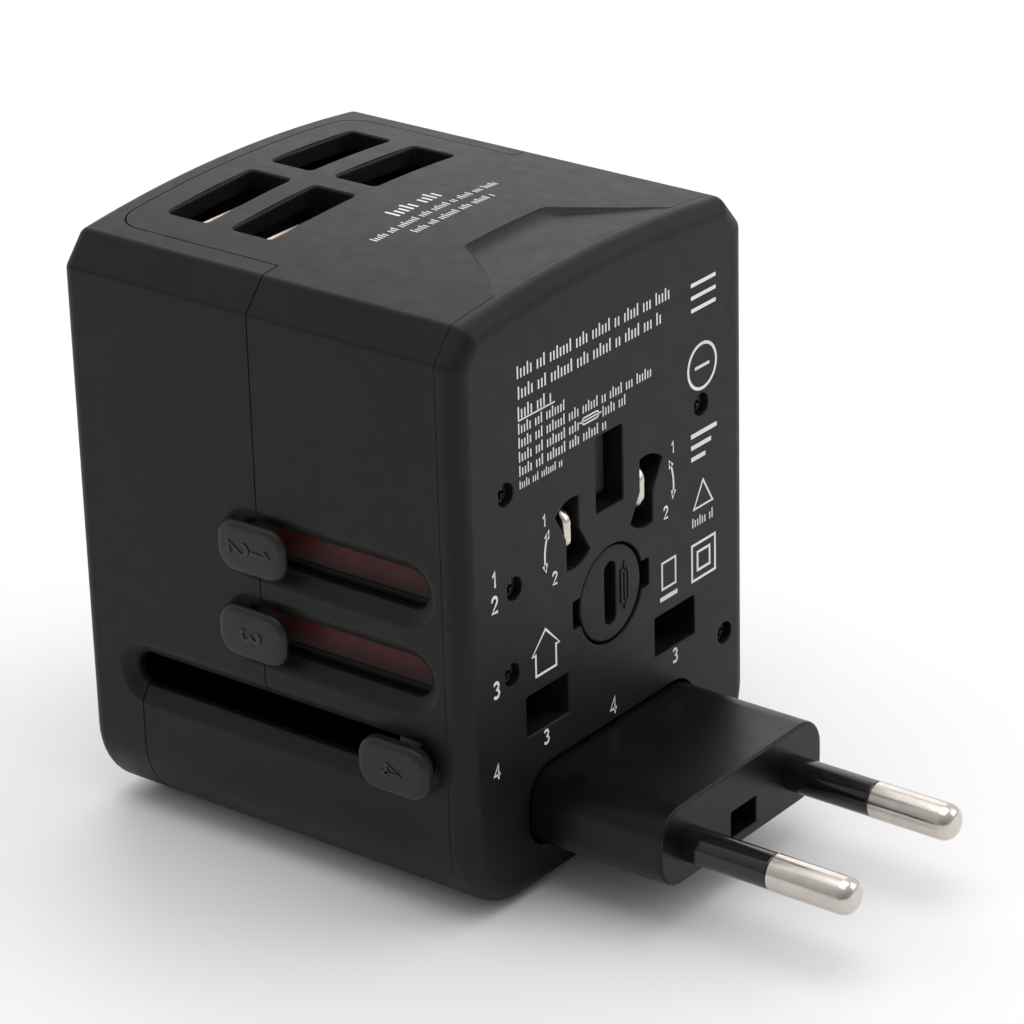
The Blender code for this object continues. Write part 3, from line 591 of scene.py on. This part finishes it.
def front_half():
    start = PLATE_BACK + 0.03
    made = made_of("front_half", casing_solid([(start, 0.05), (start + 0.05, 0.0), (TONGUE_END, 0.0)]))
    seam = SEAM - SEAM_GAP
    half, shelf, tongue = TONGUE_HALF - SEAM_GAP, SHELF_END - SEAM_GAP, TONGUE_END - SEAM_GAP
    front_wall = [stepped(moved_out(outline, 0.25), on_front, [(0, 1), (0, CAVITY_START + 1)])
                  for outline in pin_openings()]
    front_wall.append(stepped(plug_body_outline(0.5), on_front, [(0, 1), (0, CAVITY_START + 1)]))
    front_wall.append(stepped(circle((0, FUSE_LINE), 6.3), on_front, [(0, 1), (0, CAVITY_START + 1)]))
    mouths = []
    for number in range(1, 5):
        low, high = extent(f"usb_port_{number}")
        outline = rounded((low.x - 0.1, low.y + 0.15), (high.x + 0.1, high.y - 0.15), 0.5, 4)
        mouths.append(opening(outline, on_top, WALL + 6, 0.3))
    carve(made, [cavity()],
          [box((-40, seam, EU_SLOT_LINE), (40, 60, TONGUE_LOW))],
          [box((-40, shelf, -5), (40, 60, TONGUE_LOW - 0.2))],
          [beside_tongue(side, half, tongue) for side in (-1, 1)],
          [box((-40, tongue, TONGUE_LOW - 1), (40, 60, 75))],
          front_wall, slot_cutters(), [top_dish], mouths)
    show(made, CASING, "casing", "casing", "front_shell")


def rear_half():
    rear = end_rounding(DEPTH, -1, REAR_EDGE_RADIUS)[::-1]
    made = made_of("rear_half", casing_solid([(SEAM, 0.0), *rear]))
    radius = REAR_BOTTOM_RADIUS
    waste = []
    for i in range(FINE + 1):
        angle = math.radians(270 + 90 * i / FINE)
        waste.append((DEPTH - radius + radius * math.cos(angle), radius + radius * math.sin(angle)))
    waste += [(DEPTH + 2, radius), (DEPTH + 2, -2), (DEPTH - radius, -2)]
    bottom = through([[(x, depth, z) for depth, z in waste] for x in (-HALF - 2, HALF + 2)])
    tongue = rounded((-TONGUE_HALF, 0), (TONGUE_HALF, TONGUE_END), TONGUE_RADIUS)
    tongue_hole = through([[(x, depth, z) for x, depth in tongue] for z in (TONGUE_LOW - 1, 75)])
    bores = []
    for name in CASING_SCREWS:
        spot = middle(name)
        bores.append(opening(circle((spot.x, spot.z), 2.1, 32), on_back, 1.7, 0.25))
    low, high = extent("socket_face")
    socket = rounded((low.x - 0.3, low.z - 0.3), (high.x + 0.3, high.z + 0.3), 5.3)
    carve(made, [cavity()], [bottom],
          [box((-40, 0, -5), (40, SHELF_END, EU_SLOT_LINE + SEAM_GAP))],
          [tongue_hole], bores, slot_cutters(), [opening(socket, on_back, DEPTH - CAVITY_END + 1, 0.4)])
    show(made, CASING, "casing", "casing", "rear_shell")


def socket_panel():
    """The world socket on the back face, with its combined pin openings."""
    low, high = extent("socket_face")
    outline = rounded((low.x, low.z), (high.x, high.z), 5.0)
    face = DEPTH - high.y
    made = made_of("socket_panel", stepped(outline, on_back, [*rounded_over(0.4, face, 5), (0.0, 3.2)]))
    line = SOCKET_LINE
    earth = UK_EARTH - UK_LINE + line

    def hole(outline):
        return opening(outline, on_back, 5.0, 0.3, face)

    earth_hole = hole(rounded((-2.3, earth - 4.3), (2.3, earth + 4.3), 0.3, 3))
    rounds, levels, uprights = [], [], []
    for side in (-1, 1):
        rounds.append(hole(circle((side * 9.4, line), 2.7)))
        x = side * UK_HALF_PITCH
        levels.append(hole(rounded((x - 3.7, line - 2.4), (x + 3.7, line + 2.4), 0.3, 3)))
        x = side * US_HALF_PITCH
        uprights.append(hole(rounded((x - 1.1, line - 4.2), (x + 1.1, line + 4.2), 0.3, 3)))
    carve(made, [earth_hole], rounds, levels, uprights)
    show(made, CASING, "casing", "casing", "socket_face")


# ---- knobs and fuse cap ----

DIGITS = {
    "1": [(0.2, 0.72), (0.5, 1.0), (0.5, 0.0)],
    "2": [(0.1, 0.72), (0.16, 0.9), (0.36, 1.0), (0.6, 0.98), (0.78, 0.84), (0.78, 0.62), (0.1, 0.0),
          (0.85, 0.0)],
    "3": [(0.12, 0.88), (0.36, 1.0), (0.62, 0.97), (0.76, 0.8), (0.66, 0.6), (0.4, 0.53), (0.7, 0.46),
          (0.82, 0.26), (0.68, 0.06), (0.4, 0.0), (0.1, 0.1)],
    "4": [(0.66, 0.0), (0.66, 1.0), (0.08, 0.3), (0.88, 0.3)],
}


def ribbon(points, width, closed=False):
    """Quads along a line of points, with mitred corners."""
    points = [Vector(point) for point in points]
    count = len(points)
    sides = []
    for i, here in enumerate(points):
        before = points[i - 1] if closed or i else None
        after = points[(i + 1) % count] if closed or i < count - 1 else None
        first = (here - before).normalized() if before is not None else (after - here).normalized()
        second = (after - here).normalized() if after is not None else first
        across = Vector((-first.y - second.y, first.x + second.x)) / max(1 + first.dot(second), 0.8)
        sides.append((here + across * width / 2, here - across * width / 2))
    pairs = list(zip(sides, sides[1:] + sides[:1] if closed else sides[1:]))
    return [[a[0], b[0], b[1], a[1]] for a, b in pairs]


def digit(sign, place, height, turned=False):
    """A numeral's quads: place is the middle, and a turned numeral reads downwards."""
    quads = []
    for quad in ribbon(DIGITS[sign], 0.2):
        points = []
        for point in quad:
            x, z = (point[0] - 0.48) * height * 0.72, (point[1] - 0.5) * height
            points.append((place[0] - z, place[1] - x) if turned else (place[0] + x, place[1] + z))
        quads.append(points)
    return quads


def arc(centre, radius, first, last, steps=12):
    angles = [math.radians(first + (last - first) * i / steps) for i in range(steps + 1)]
    return [(centre[0] + radius * math.cos(a), centre[1] + radius * math.sin(a)) for a in angles]


def relief(flats, place, height, sunk=0.1):
    """Makers that raise flat shapes above a face."""
    return [through([[place(point, level) for point in flat] for level in (-height, sunk)])
            for flat in flats]


def stem_place(name, centre):
    """Height and depth of the stem that joins a knob to its carriage."""
    if name == "eu":
        return centre[1], centre[0] - EU_STEM_SHIFT
    return centre[1] - STEM_DROP, centre[0]


def knob(name, body, marks):
    """A soft pad with rounded edges on a neck, and numerals moulded on it."""
    low, high = extent(f"{name}_knob")
    line, height = SLOTS[name][0], SLOTS[name][3]
    centre = ((low.y + high.y) / 2, (low.z + high.z) / 2)
    half_length, half_height = (high.y - low.y) / 2, (high.z - low.z) / 2
    face = low.x
    thickness = -HALF - face - PRESS_ROOM

    def ring(inset, x):
        outline = rounded((centre[0] - half_length + inset, centre[1] - half_height + inset),
                          (centre[0] + half_length - inset, centre[1] + half_height - inset),
                          PAD_CORNER - inset * 0.9)
        return [(x, depth, z) for depth, z in outline]

    dome = [ring(1.9, face), ring(1.4, face + 0.02)]
    for i in range(FINE + 1):
        angle = math.radians(90 * i / FINE)
        drop = PAD_EDGE * 0.8 * (1 - math.cos(angle))
        dome.append(ring(PAD_EDGE * (1 - math.sin(angle)), face + 0.06 + drop))
    pad = through([*dome, ring(0.0, face + thickness - 0.15), ring(0.15, face + thickness)])
    stem_line, stem_depth = stem_place(name, centre)
    reach = height / 2 - 0.35
    outline = rounded((stem_depth - NECK_HALF_LENGTH, line - reach),
                      (stem_depth + NECK_HALF_LENGTH, line + reach), 1.2, 6)
    neck = stepped(outline, on_left, [(0.0, HALF + face + thickness - 0.1), (0.0, 0.1)])
    stem = box((-HALF, stem_depth - 1.0, stem_line - 0.5), (high.x, stem_depth + 1.0, stem_line + 0.5))
    flats = []
    for sign, offset in marks:
        flats += digit(sign, (centre[0] + offset, centre[1]), 2.4, turned=True)

    def on_pad(point, inwards):
        return (face + inwards, point[0], point[1])

    made = made_of(f"{name}_slider_pad", pad, neck, stem, *relief(flats, on_pad, 0.13, 0.3))
    show(made, KNOB, "casing", body, f"{name}_knob", sharp=40)


def slot_sheet(name):
    """The soft sheet behind a slot: two lips that meet where the knob's stem parts them.

    The CAD node has an open slot there. The lips don't move, so the stem is drawn through them.
    """
    low, high = extent(f"{name}_slot_strip")
    pad = middle(f"{name}_knob")
    line = stem_place(name, (pad.y, pad.z))[0]
    near, far = low.x + HALF, high.x + HALF
    lips = []
    for bottom, top in ((low.z, line - STRIP_SLIT), (line + STRIP_SLIT, high.z)):
        outline = rounded((low.y, bottom), (high.y, top), 0.2, 3)
        lips.append(stepped(outline, on_left, [(-0.1, near), (0.0, near + 0.1), (0.0, far)]))
    show(made_of(f"{name}_slot_sheet", *lips), strip(name), "strip", "casing", f"{name}_slot_strip")


def fuse_door():
    """The fuse holder's cap: coin slot, side lugs and a moulded fuse sign."""
    low, high = extent("fuse_cap")
    centre = (0, FUSE_LINE)
    disc = stepped(circle(centre, FUSE_RADIUS, 64), on_front, [*rounded_over(0.2, low.y, 6), (0.0, 2.4)])
    barrel = stepped(circle(centre, 4.5, 48), on_front, [(0, 2.3), (0, high.y)])
    lugs = box((low.x, 3.2, FUSE_LINE - 1.3), (high.x, 4.5, FUSE_LINE + 1.3))
    made = made_of("fuse_door", disc)
    coin = rounded((-0.95, FUSE_LINE - 3.55), (0.95, FUSE_LINE + 3.55), 0.93, 5)
    carve(made, [opening(coin, on_front, low.y + 1.5, 0.15, low.y)])
    sign = ribbon(rounded((1.9, FUSE_LINE - 1.8), (3.1, FUSE_LINE + 1.8), 0.1, 1), 0.34, closed=True)
    sign += ribbon([(2.5, FUSE_LINE - 2.7), (2.5, FUSE_LINE + 2.7)], 0.3)

    def on_cap(point, inwards):
        return (point[0], low.y + inwards, point[1])

    rest = made_of("fuse_barrel", barrel, lugs, *relief(sign, on_cap, 0.12))
    show(made, CASING, "casing", "fuse_cap", "fuse_cap")
    show(rest, CASING, "casing", "fuse_cap")


# ---- pins ----

def flat_bar(place, rings, corner):
    """A bar along depth, from rings of depth, half width and half height. Corner gives their radius."""
    outlines = []
    for depth, a, b in rings:
        outline = rounded((place[0] - a, place[1] - b), (place[0] + a, place[1] + b), corner(a), 3)
        outlines.append([(x, depth, z) for x, z in outline])
    return through(outlines)


def uk_piece(name, node, place, size, span, finish, slot, rounding):
    """A pin or sleeve of the British plug. Size is half its width and height, span its two ends.

    Rounding is how far back the tip is rounded, and the share of the size that is left at its very end.
    """
    tip, back = span
    length, blunt = rounding
    rings = []
    for i in range(FINE + 1):
        angle = math.radians(90 * i / FINE)
        share = blunt + (1 - blunt) * math.sin(angle)
        rings.append((tip + length * (1 - math.cos(angle)), size[0] * share, size[1] * share))
    rings.append((back, size[0], size[1]))
    made = made_of(name, flat_bar(place, rings, lambda half: min(0.35, half * 0.8)))
    show(made, finish, slot, "uk_slider", node, sharp=40)


def us_blades():
    """The two flat blades, each rounded at its tip and on the axle that it turns on."""
    half_thick, half_wide = 0.75, 3.15
    tip_half_thick, tip_half_wide = 0.12, 0.5
    rounding, thinning = 3.2, 0.8
    back = extent("us_carriage")[0].y
    for label in ("left", "right"):
        node = f"us_blade_{label}"
        low, high = extent(node)
        place = (middle(node).x, US_LINE)
        rings = []
        for i in range(2 * FINE + 1):
            angle = math.radians(90 * i / (2 * FINE))
            reach = rounding * (1 - math.cos(angle))
            thin = half_thick * math.sqrt(1 - (1 - min(reach / thinning, 1.0)) ** 2)
            wide = tip_half_wide + (half_wide - tip_half_wide) * math.sin(angle)
            rings.append((low.y + reach, max(thin, tip_half_thick), wide))
        rings.append((back - 0.3, half_thick, half_wide))
        blade = flat_bar(place, rings, lambda half: half * 0.6)
        axle = stepped(circle(place, 1.75, 32), on_front, [(0, back - 0.5), (0, high.y)])
        made = made_of(f"flat_blade_{label}", blade, axle)
        show(made, NICKEL, "nickel", node, node, sharp=40)


def uk_pins():
    """Live and neutral with insulating sleeves, and the plastic earth pin."""
    back = extent("uk_carriage")[0].y - 0.3
    half_flat, half_tall = (3.175, 2.0), (2.0, 4.0)
    for label in ("live", "neutral"):
        low, high = extent(f"uk_pin_{label}")
        place = ((low.x + high.x) / 2, UK_LINE)
        shoulder = extent(f"uk_sleeve_{label}")[0].y
        uk_piece(f"flat_pin_{label}", f"uk_pin_{label}", place, half_flat, (low.y, shoulder),
                 BRASS, "brass", (0.9, 0.8))
        uk_piece(f"flat_pin_sleeve_{label}", f"uk_sleeve_{label}", place, half_flat, (shoulder + 0.05, back),
                 SLEEVE, "sleeve", (0.1, 0.97))
    tip = extent("uk_earth_pin")[0].y
    uk_piece("tall_pin_earth", "uk_earth_pin", (0, UK_EARTH), half_tall, (tip, back),
             CARRIAGE, "carriage", (0.9, 0.8))


def eu_plug():
    low, high = extent("eu_plug_body")
    profile = [*rounded_over(0.3, low.y, FINE), (0.0, high.y)]
    body = made_of("plug_body", stepped(plug_body_outline(), on_front, profile))
    pocket = rounded(*EU_POCKET, 0.2, 3)
    carve(body, [opening(pocket, on_front, low.y + 8, 0.15, low.y)])
    show(body, BODY, "plug_body", "eu_slider", "eu_plug_body")
    arm = made_of("plug_body_arm", box((-17.0, EU_ARM_START, 13.0), (-8.0, high.y, 16.7)),
                  box((low.x, EU_ARM_START, 14.3), (-16.5, high.y, high.z)))
    show(arm, BODY, "plug_body", "eu_slider")
    for label in ("live", "neutral"):
        pin_low, pin_high = extent(f"eu_pin_{label}")
        sleeve_low, sleeve_high = extent(f"eu_sleeve_{label}")
        tip_length = 1.45
        spot = (middle(f"eu_pin_{label}").x, EU_LINE)
        radius = pin_high.x - spot[0]
        end = sleeve_low.y - 0.2
        tip = []
        for i in range(FINE + 3):
            angle = math.radians(90 * i / (FINE + 2))
            tip.append((-radius * 0.66 * (1 - math.sin(angle)),
                        pin_low.y + tip_length * (1 - math.cos(angle))))
        profile = [*tip, (0.0, end - 0.1), (-0.1, end)]
        pin = made_of(f"round_pin_{label}", stepped(circle(spot, radius), on_front, profile))
        show(pin, NICKEL, "nickel", "eu_slider", f"eu_pin_{label}", sharp=40)
        profile = [(-0.25, end + 0.02), (-0.1, end + 0.05), (0.0, end + 0.2), (0.0, sleeve_high.y)]
        sleeve = made_of(f"round_pin_sleeve_{label}", stepped(circle(spot, radius - 0.05), on_front, profile))
        show(sleeve, SLEEVE, "sleeve", "eu_slider", f"eu_sleeve_{label}", sharp=40)


def on_level(outline, profile):
    """A solid on an outline in x and depth, from pairs of how far outside it and how high."""
    return through([[(x, depth, z) for x, depth in moved_out(outline, distance)]
                    for distance, z in profile])


def lip_plate_painted_shade(number, top):
    """Coppery plate that is bright on the lip's edge only, with painted shade that darkens it down the wall.
    """
    made = Finish(f"usb_lip_metal_{number}", 0.3, metallic=1.0)
    # Painted shade: the plate's colour goes dark below the lip's edge, down the wall inside the port.
    made.painted_shade_by_height((0.01, 0.008, 0.007), (0.62, 0.49, 0.40), top + 0.1, top + 0.32)
    made.uneven(made.noise(0.5), 0.06)
    made.bump(made.noise(0.15, 2.0), 0.001, 0.5)
    return made.material


def usb_lip(number):
    """The flared metal lip of a USB port, just inside its mouth."""
    low, high = extent(f"usb_port_{number}")
    outer = rounded((low.x + 0.05, low.y + 0.2), (high.x - 0.05, high.y - 0.2), 0.4, 4)
    made = made_of(f"usb_lip_{number}", on_level(outer, [(0.0, high.z - 0.8), (0.0, high.z + 0.4)]))
    flare = [(-0.3, high.z - 2), (-0.3, high.z + 0.1), (-0.08, high.z + 0.4), (-0.08, high.z + 2)]
    carve(made, [on_level(outer, flare)])
    show(made, lip_plate_painted_shade(number, high.z), "nickel", "casing")


def usb_contacts():
    """The spring contacts on each USB tongue, and the two spring tabs on its shell."""
    pitch, half_wide = 2.6, 0.5
    for number in range(1, 5):
        low, high = extent(f"usb_tongue_{number}")
        port_low, port_high = extent(f"usb_port_{number}")
        makers = []
        for k in range(4):
            x = low.x + 1.6 + k * pitch
            makers.append(box((x - half_wide, low.y - 0.18, low.z + 0.5),
                              (x + half_wide, low.y + 0.02, high.z - 0.4)))
        for side in (-1, 1):
            x = (low.x + high.x) / 2 + side * 2.9
            wall, top = port_low.y + 0.35, port_high.z
            profile = [(wall, top - 0.4), (wall + 0.55, top - 2.2), (wall + 0.15, top - 4.6),
                       (wall, top - 4.6)]
            makers.append(through([[(x + w, depth, z) for depth, z in profile] for w in (-1.0, 1.0)]))
        made = made_of(f"usb_contacts_{number}", *makers)
        show(made, BRASS, "brass", "casing")


# ---- print ----

def greeked(x, end, z, height, groups=(5, 3, 7, 4, 6, 2)):
    """A line of print as small upright dashes in groups, which spells nothing."""
    flats = []
    pitch, width = height * 0.4, height * 0.16
    low = z - height / 2
    count, group, left = 0, 0, groups[0]
    while x < end - width:
        top = low + height * (1.0 if count * 5 % 7 < 2 else 0.72)
        flats.append([(x, low), (x + width, low), (x + width, top), (x, top)])
        x += pitch
        count += 1
        left -= 1
        if not left:
            group += 1
            left = groups[group % len(groups)]
            x += pitch
    return flats


def arrow_head(tip, direction, size):
    ahead = Vector(direction).normalized() * size
    across = Vector((-ahead.y, ahead.x)) * 0.45
    tip = Vector(tip)
    return [tip, tip - ahead + across, tip - ahead - across]


def turning_arrows(side):
    """A bent line with an arrow head at each end, beside a blade opening."""
    top, bottom = Vector((side * 10.3, 39.7)), Vector((side * 9.6, 35.4))
    centre = (top + bottom) / 2 - Vector((side * 5.0, 0.9))
    radius = (top - centre).length
    first = math.degrees(math.atan2(top.y - centre.y, top.x - centre.x))
    last = math.degrees(math.atan2(bottom.y - centre.y, bottom.x - centre.x))
    if side < 0 and last < 0:
        last += 360
    line = arc(centre, radius, first, last)
    ends = [(line[0], Vector(line[0]) - Vector(line[2])), (line[-1], Vector(line[-1]) - Vector(line[-3]))]
    return ribbon(line[1:-1], 0.26) + [arrow_head(tip, way, 1.0) for tip, way in ends]


# Lines of print on the plug face: start, end, height of the middle, height of the tallest dash
FACE_LINES = [
    (-14.9, 11.0, 58.2, 1.35), (-14.8, 9.6, 56.0, 1.35), (-14.9, -9.2, 53.9, 1.3),
    (-14.9, -7.2, 52.2, 1.15), (-14.9, 7.4, 50.7, 1.15), (-14.9, -5.0, 49.2, 1.15),
    (-1.0, 3.0, 49.2, 1.15), (-14.9, -0.4, 47.7, 1.15), (-14.9, -7.6, 46.2, 0.9),
]
# Numerals for the plug systems: which, the middle's x and height, how tall
FACE_NUMERALS = [
    ("1", -19.3, 37.6, 1.7), ("2", -19.4, 34.9, 1.7), ("3", -19.5, 25.5, 1.7), ("4", -19.8, 16.4, 1.7),
    ("1", -11.0, 40.9, 1.3), ("2", -9.5, 34.0, 1.3), ("1", 11.1, 40.9, 1.3), ("2", 9.7, 34.0, 1.3),
    ("3", -11.5, 16.9, 1.5), ("3", 11.1, 16.9, 1.5), ("4", 0.0, 15.6, 1.9),
]


def face_print():
    """Generic marks where the plug face has print: dashes for lines, numerals for the plug systems."""
    flats = []
    for x, end, z, height in FACE_LINES:
        flats += greeked(x, end, z, height)
    flats.append([(-14.9, 53.0), (-8.9, 53.0), (-8.9, 53.16), (-14.9, 53.16)])
    flats += ribbon(rounded((-4.4, 48.9), (-1.7, 49.6), 0.3, 3), 0.18, closed=True)
    flats += ribbon([(-4.9, 49.25), (-1.2, 49.25)], 0.16)
    for sign, x, z, height in FACE_NUMERALS:
        flats += digit(sign, (x, z), height)
    for side in (-1, 1):
        flats += turning_arrows(side)
    flats += ribbon(circle((16.4, 48.2), 2.5, 32), 0.34, closed=True)
    flats += ribbon([(15.1, 48.2), (17.7, 48.2)], 0.34)
    for inset in (0.0, 1.0):
        flats += ribbon([(14.3 + inset, 24.2 + inset), (18.5 - inset, 24.2 + inset),
                         (18.5 - inset, 28.3 - inset), (14.3 + inset, 28.3 - inset)], 0.3, closed=True)
    flats += ribbon([(-13.0, 24.3), (-9.6, 24.3), (-9.6, 26.7), (-9.0, 26.7), (-11.3, 29.0), (-13.6, 26.7),
                     (-13.0, 26.7)], 0.26, closed=True)
    flats += ribbon([(8.9, 25.4), (11.3, 25.4), (11.3, 28.4), (8.9, 28.4)], 0.26, closed=True)
    flats += ribbon([(8.5, 24.3), (11.6, 24.3)], 0.5)
    for level in (54.8, 56.2, 57.6):
        flats += ribbon([(14.5, level), (18.9, level)], 0.42)
    for level in (38.2, 39.5, 40.8):
        flats += ribbon([(14.3, level), (14.3 + (level - 35.0) * 0.8, level)], 0.5)
    flats += ribbon([(14.7, 32.4), (18.1, 32.4), (16.4, 35.3)], 0.34, closed=True)
    flats += greeked(14.4, 18.4, 30.9, 1.1, (6,))
    made = made_of("face_print", *relief(flats, on_front, 0.02, 0.02))
    show(made, PRINT, None, "casing")


def top_print():
    """Three lines of generic print between the USB ports and the front, read from the front."""
    lines = greeked(-3.9, 3.5, 24.1, 1.9, (5,))
    lines += greeked(-10.2, 9.8, 21.4, 1.05)
    lines += greeked(-6.3, 6.6, 19.3, 1.05)
    made = made_of("top_print", *relief(lines, on_top, 0.02, 0.02))
    show(made, PRINT, None, "casing")


# ---- stage ----

def floor():
    bm = bmesh.new()
    bmesh.ops.create_grid(bm, x_segments=8, y_segments=8, size=4.0)
    mesh = bpy.data.meshes.new("floor")
    bm.to_mesh(mesh)
    bm.free()
    made = bpy.data.objects.new("floor", mesh)
    made.location = (0, 0, -0.0001)
    bpy.context.scene.collection.objects.link(made)
    paper = Finish("floor_paper", 0.75, specular=0.2)
    paper.colour(paper.noise(400.0), grey(0.90), grey(0.93))
    mesh.materials.append(paper.material)


def softbox(name, place, size, power, colour=(1, 1, 1)):
    light = bpy.data.lights.new(name, 'AREA')
    light.size = size
    light.energy = power
    light.color = colour
    made = bpy.data.objects.new(name, light)
    made.location = place
    aim = Vector((0, 0, 0.035)) - Vector(place)
    made.rotation_euler = aim.to_track_quat('-Z', 'Y').to_euler()
    bpy.context.scene.collection.objects.link(made)


def lights():
    softbox("back_right", (0.55, 0.50, 0.42), 0.55, 0.7)
    softbox("overhead", (0.0, 0.0, 0.85), 0.8, 2.9)
    softbox("front_right", (0.45, -0.50, 0.40), 0.5, 0.9)
    surroundings = bpy.data.worlds.new("surroundings")
    surroundings.use_nodes = True
    tree = surroundings.node_tree
    towards = tree.nodes.new("ShaderNodeVectorMath")
    towards.operation = 'DOT_PRODUCT'
    towards.inputs[1].default_value = Vector((0.62, 0.50, 0.60)).normalized()
    tree.links.new(tree.nodes.new("ShaderNodeTexCoord").outputs["Generated"], towards.inputs[0])
    shade = tree.nodes.new("ShaderNodeMapRange")
    shade.inputs["From Min"].default_value = -0.75
    shade.inputs["From Max"].default_value = 0.65
    shade.inputs["To Min"].default_value = 0.22
    shade.inputs["To Max"].default_value = 0.85
    tree.links.new(towards.outputs["Value"], shade.inputs["Value"])
    tree.links.new(shade.outputs["Result"], tree.nodes["Background"].inputs["Strength"])
    tree.nodes["Background"].inputs["Color"].default_value = (1.0, 1.0, 1.0, 1.0)
    bpy.context.scene.world = surroundings


def camera():
    """The photo's viewpoint: where it looks, from which angles, how far away and how far off centre."""
    aim, distance = Vector((0.0, -5.6, 33.0)), 454.45
    turn, lift, roll = math.radians(52.003), math.radians(24.462), math.radians(-1.568)
    off_right, off_up = -5.785, 0.382
    ahead = Vector((math.sin(turn) * math.cos(lift), math.cos(turn) * math.cos(lift), -math.sin(lift)))
    level = Vector((math.cos(turn), -math.sin(turn), 0.0))
    upright = level.cross(ahead)
    right = level * math.cos(roll) + upright * math.sin(roll)
    up = upright * math.cos(roll) - level * math.sin(roll)
    place = aim - right * off_right - up * off_up - ahead * distance
    lens = bpy.data.cameras.new("view")
    lens.lens = 152.37
    lens.sensor_width = 36.0
    lens.clip_start = 0.01
    made = bpy.data.objects.new("view", lens)
    matrix = Matrix((right, up, -ahead)).transposed().to_4x4()
    matrix.translation = place * MM
    made.matrix_world = matrix
    bpy.context.scene.collection.objects.link(made)
    bpy.context.scene.camera = made


def build():
    dress_frame()
    face_plate()
    front_half()
    rear_half()
    socket_panel()
    knob("us", "us_button", (("1", -1.4), ("2", 1.4)))
    knob("uk", "uk_button", (("3", 0.0),))
    knob("eu", "eu_button", (("4", 0.0),))
    slot_sheet("us")
    slot_sheet("uk")
    fuse_door()
    us_blades()
    uk_pins()
    eu_plug()
    usb_contacts()
    for number in range(1, 5):
        usb_lip(number)
    face_print()
    top_print()
    floor()
    lights()
    camera()
    bpy.context.scene.view_settings.view_transform = 'Standard'


build()
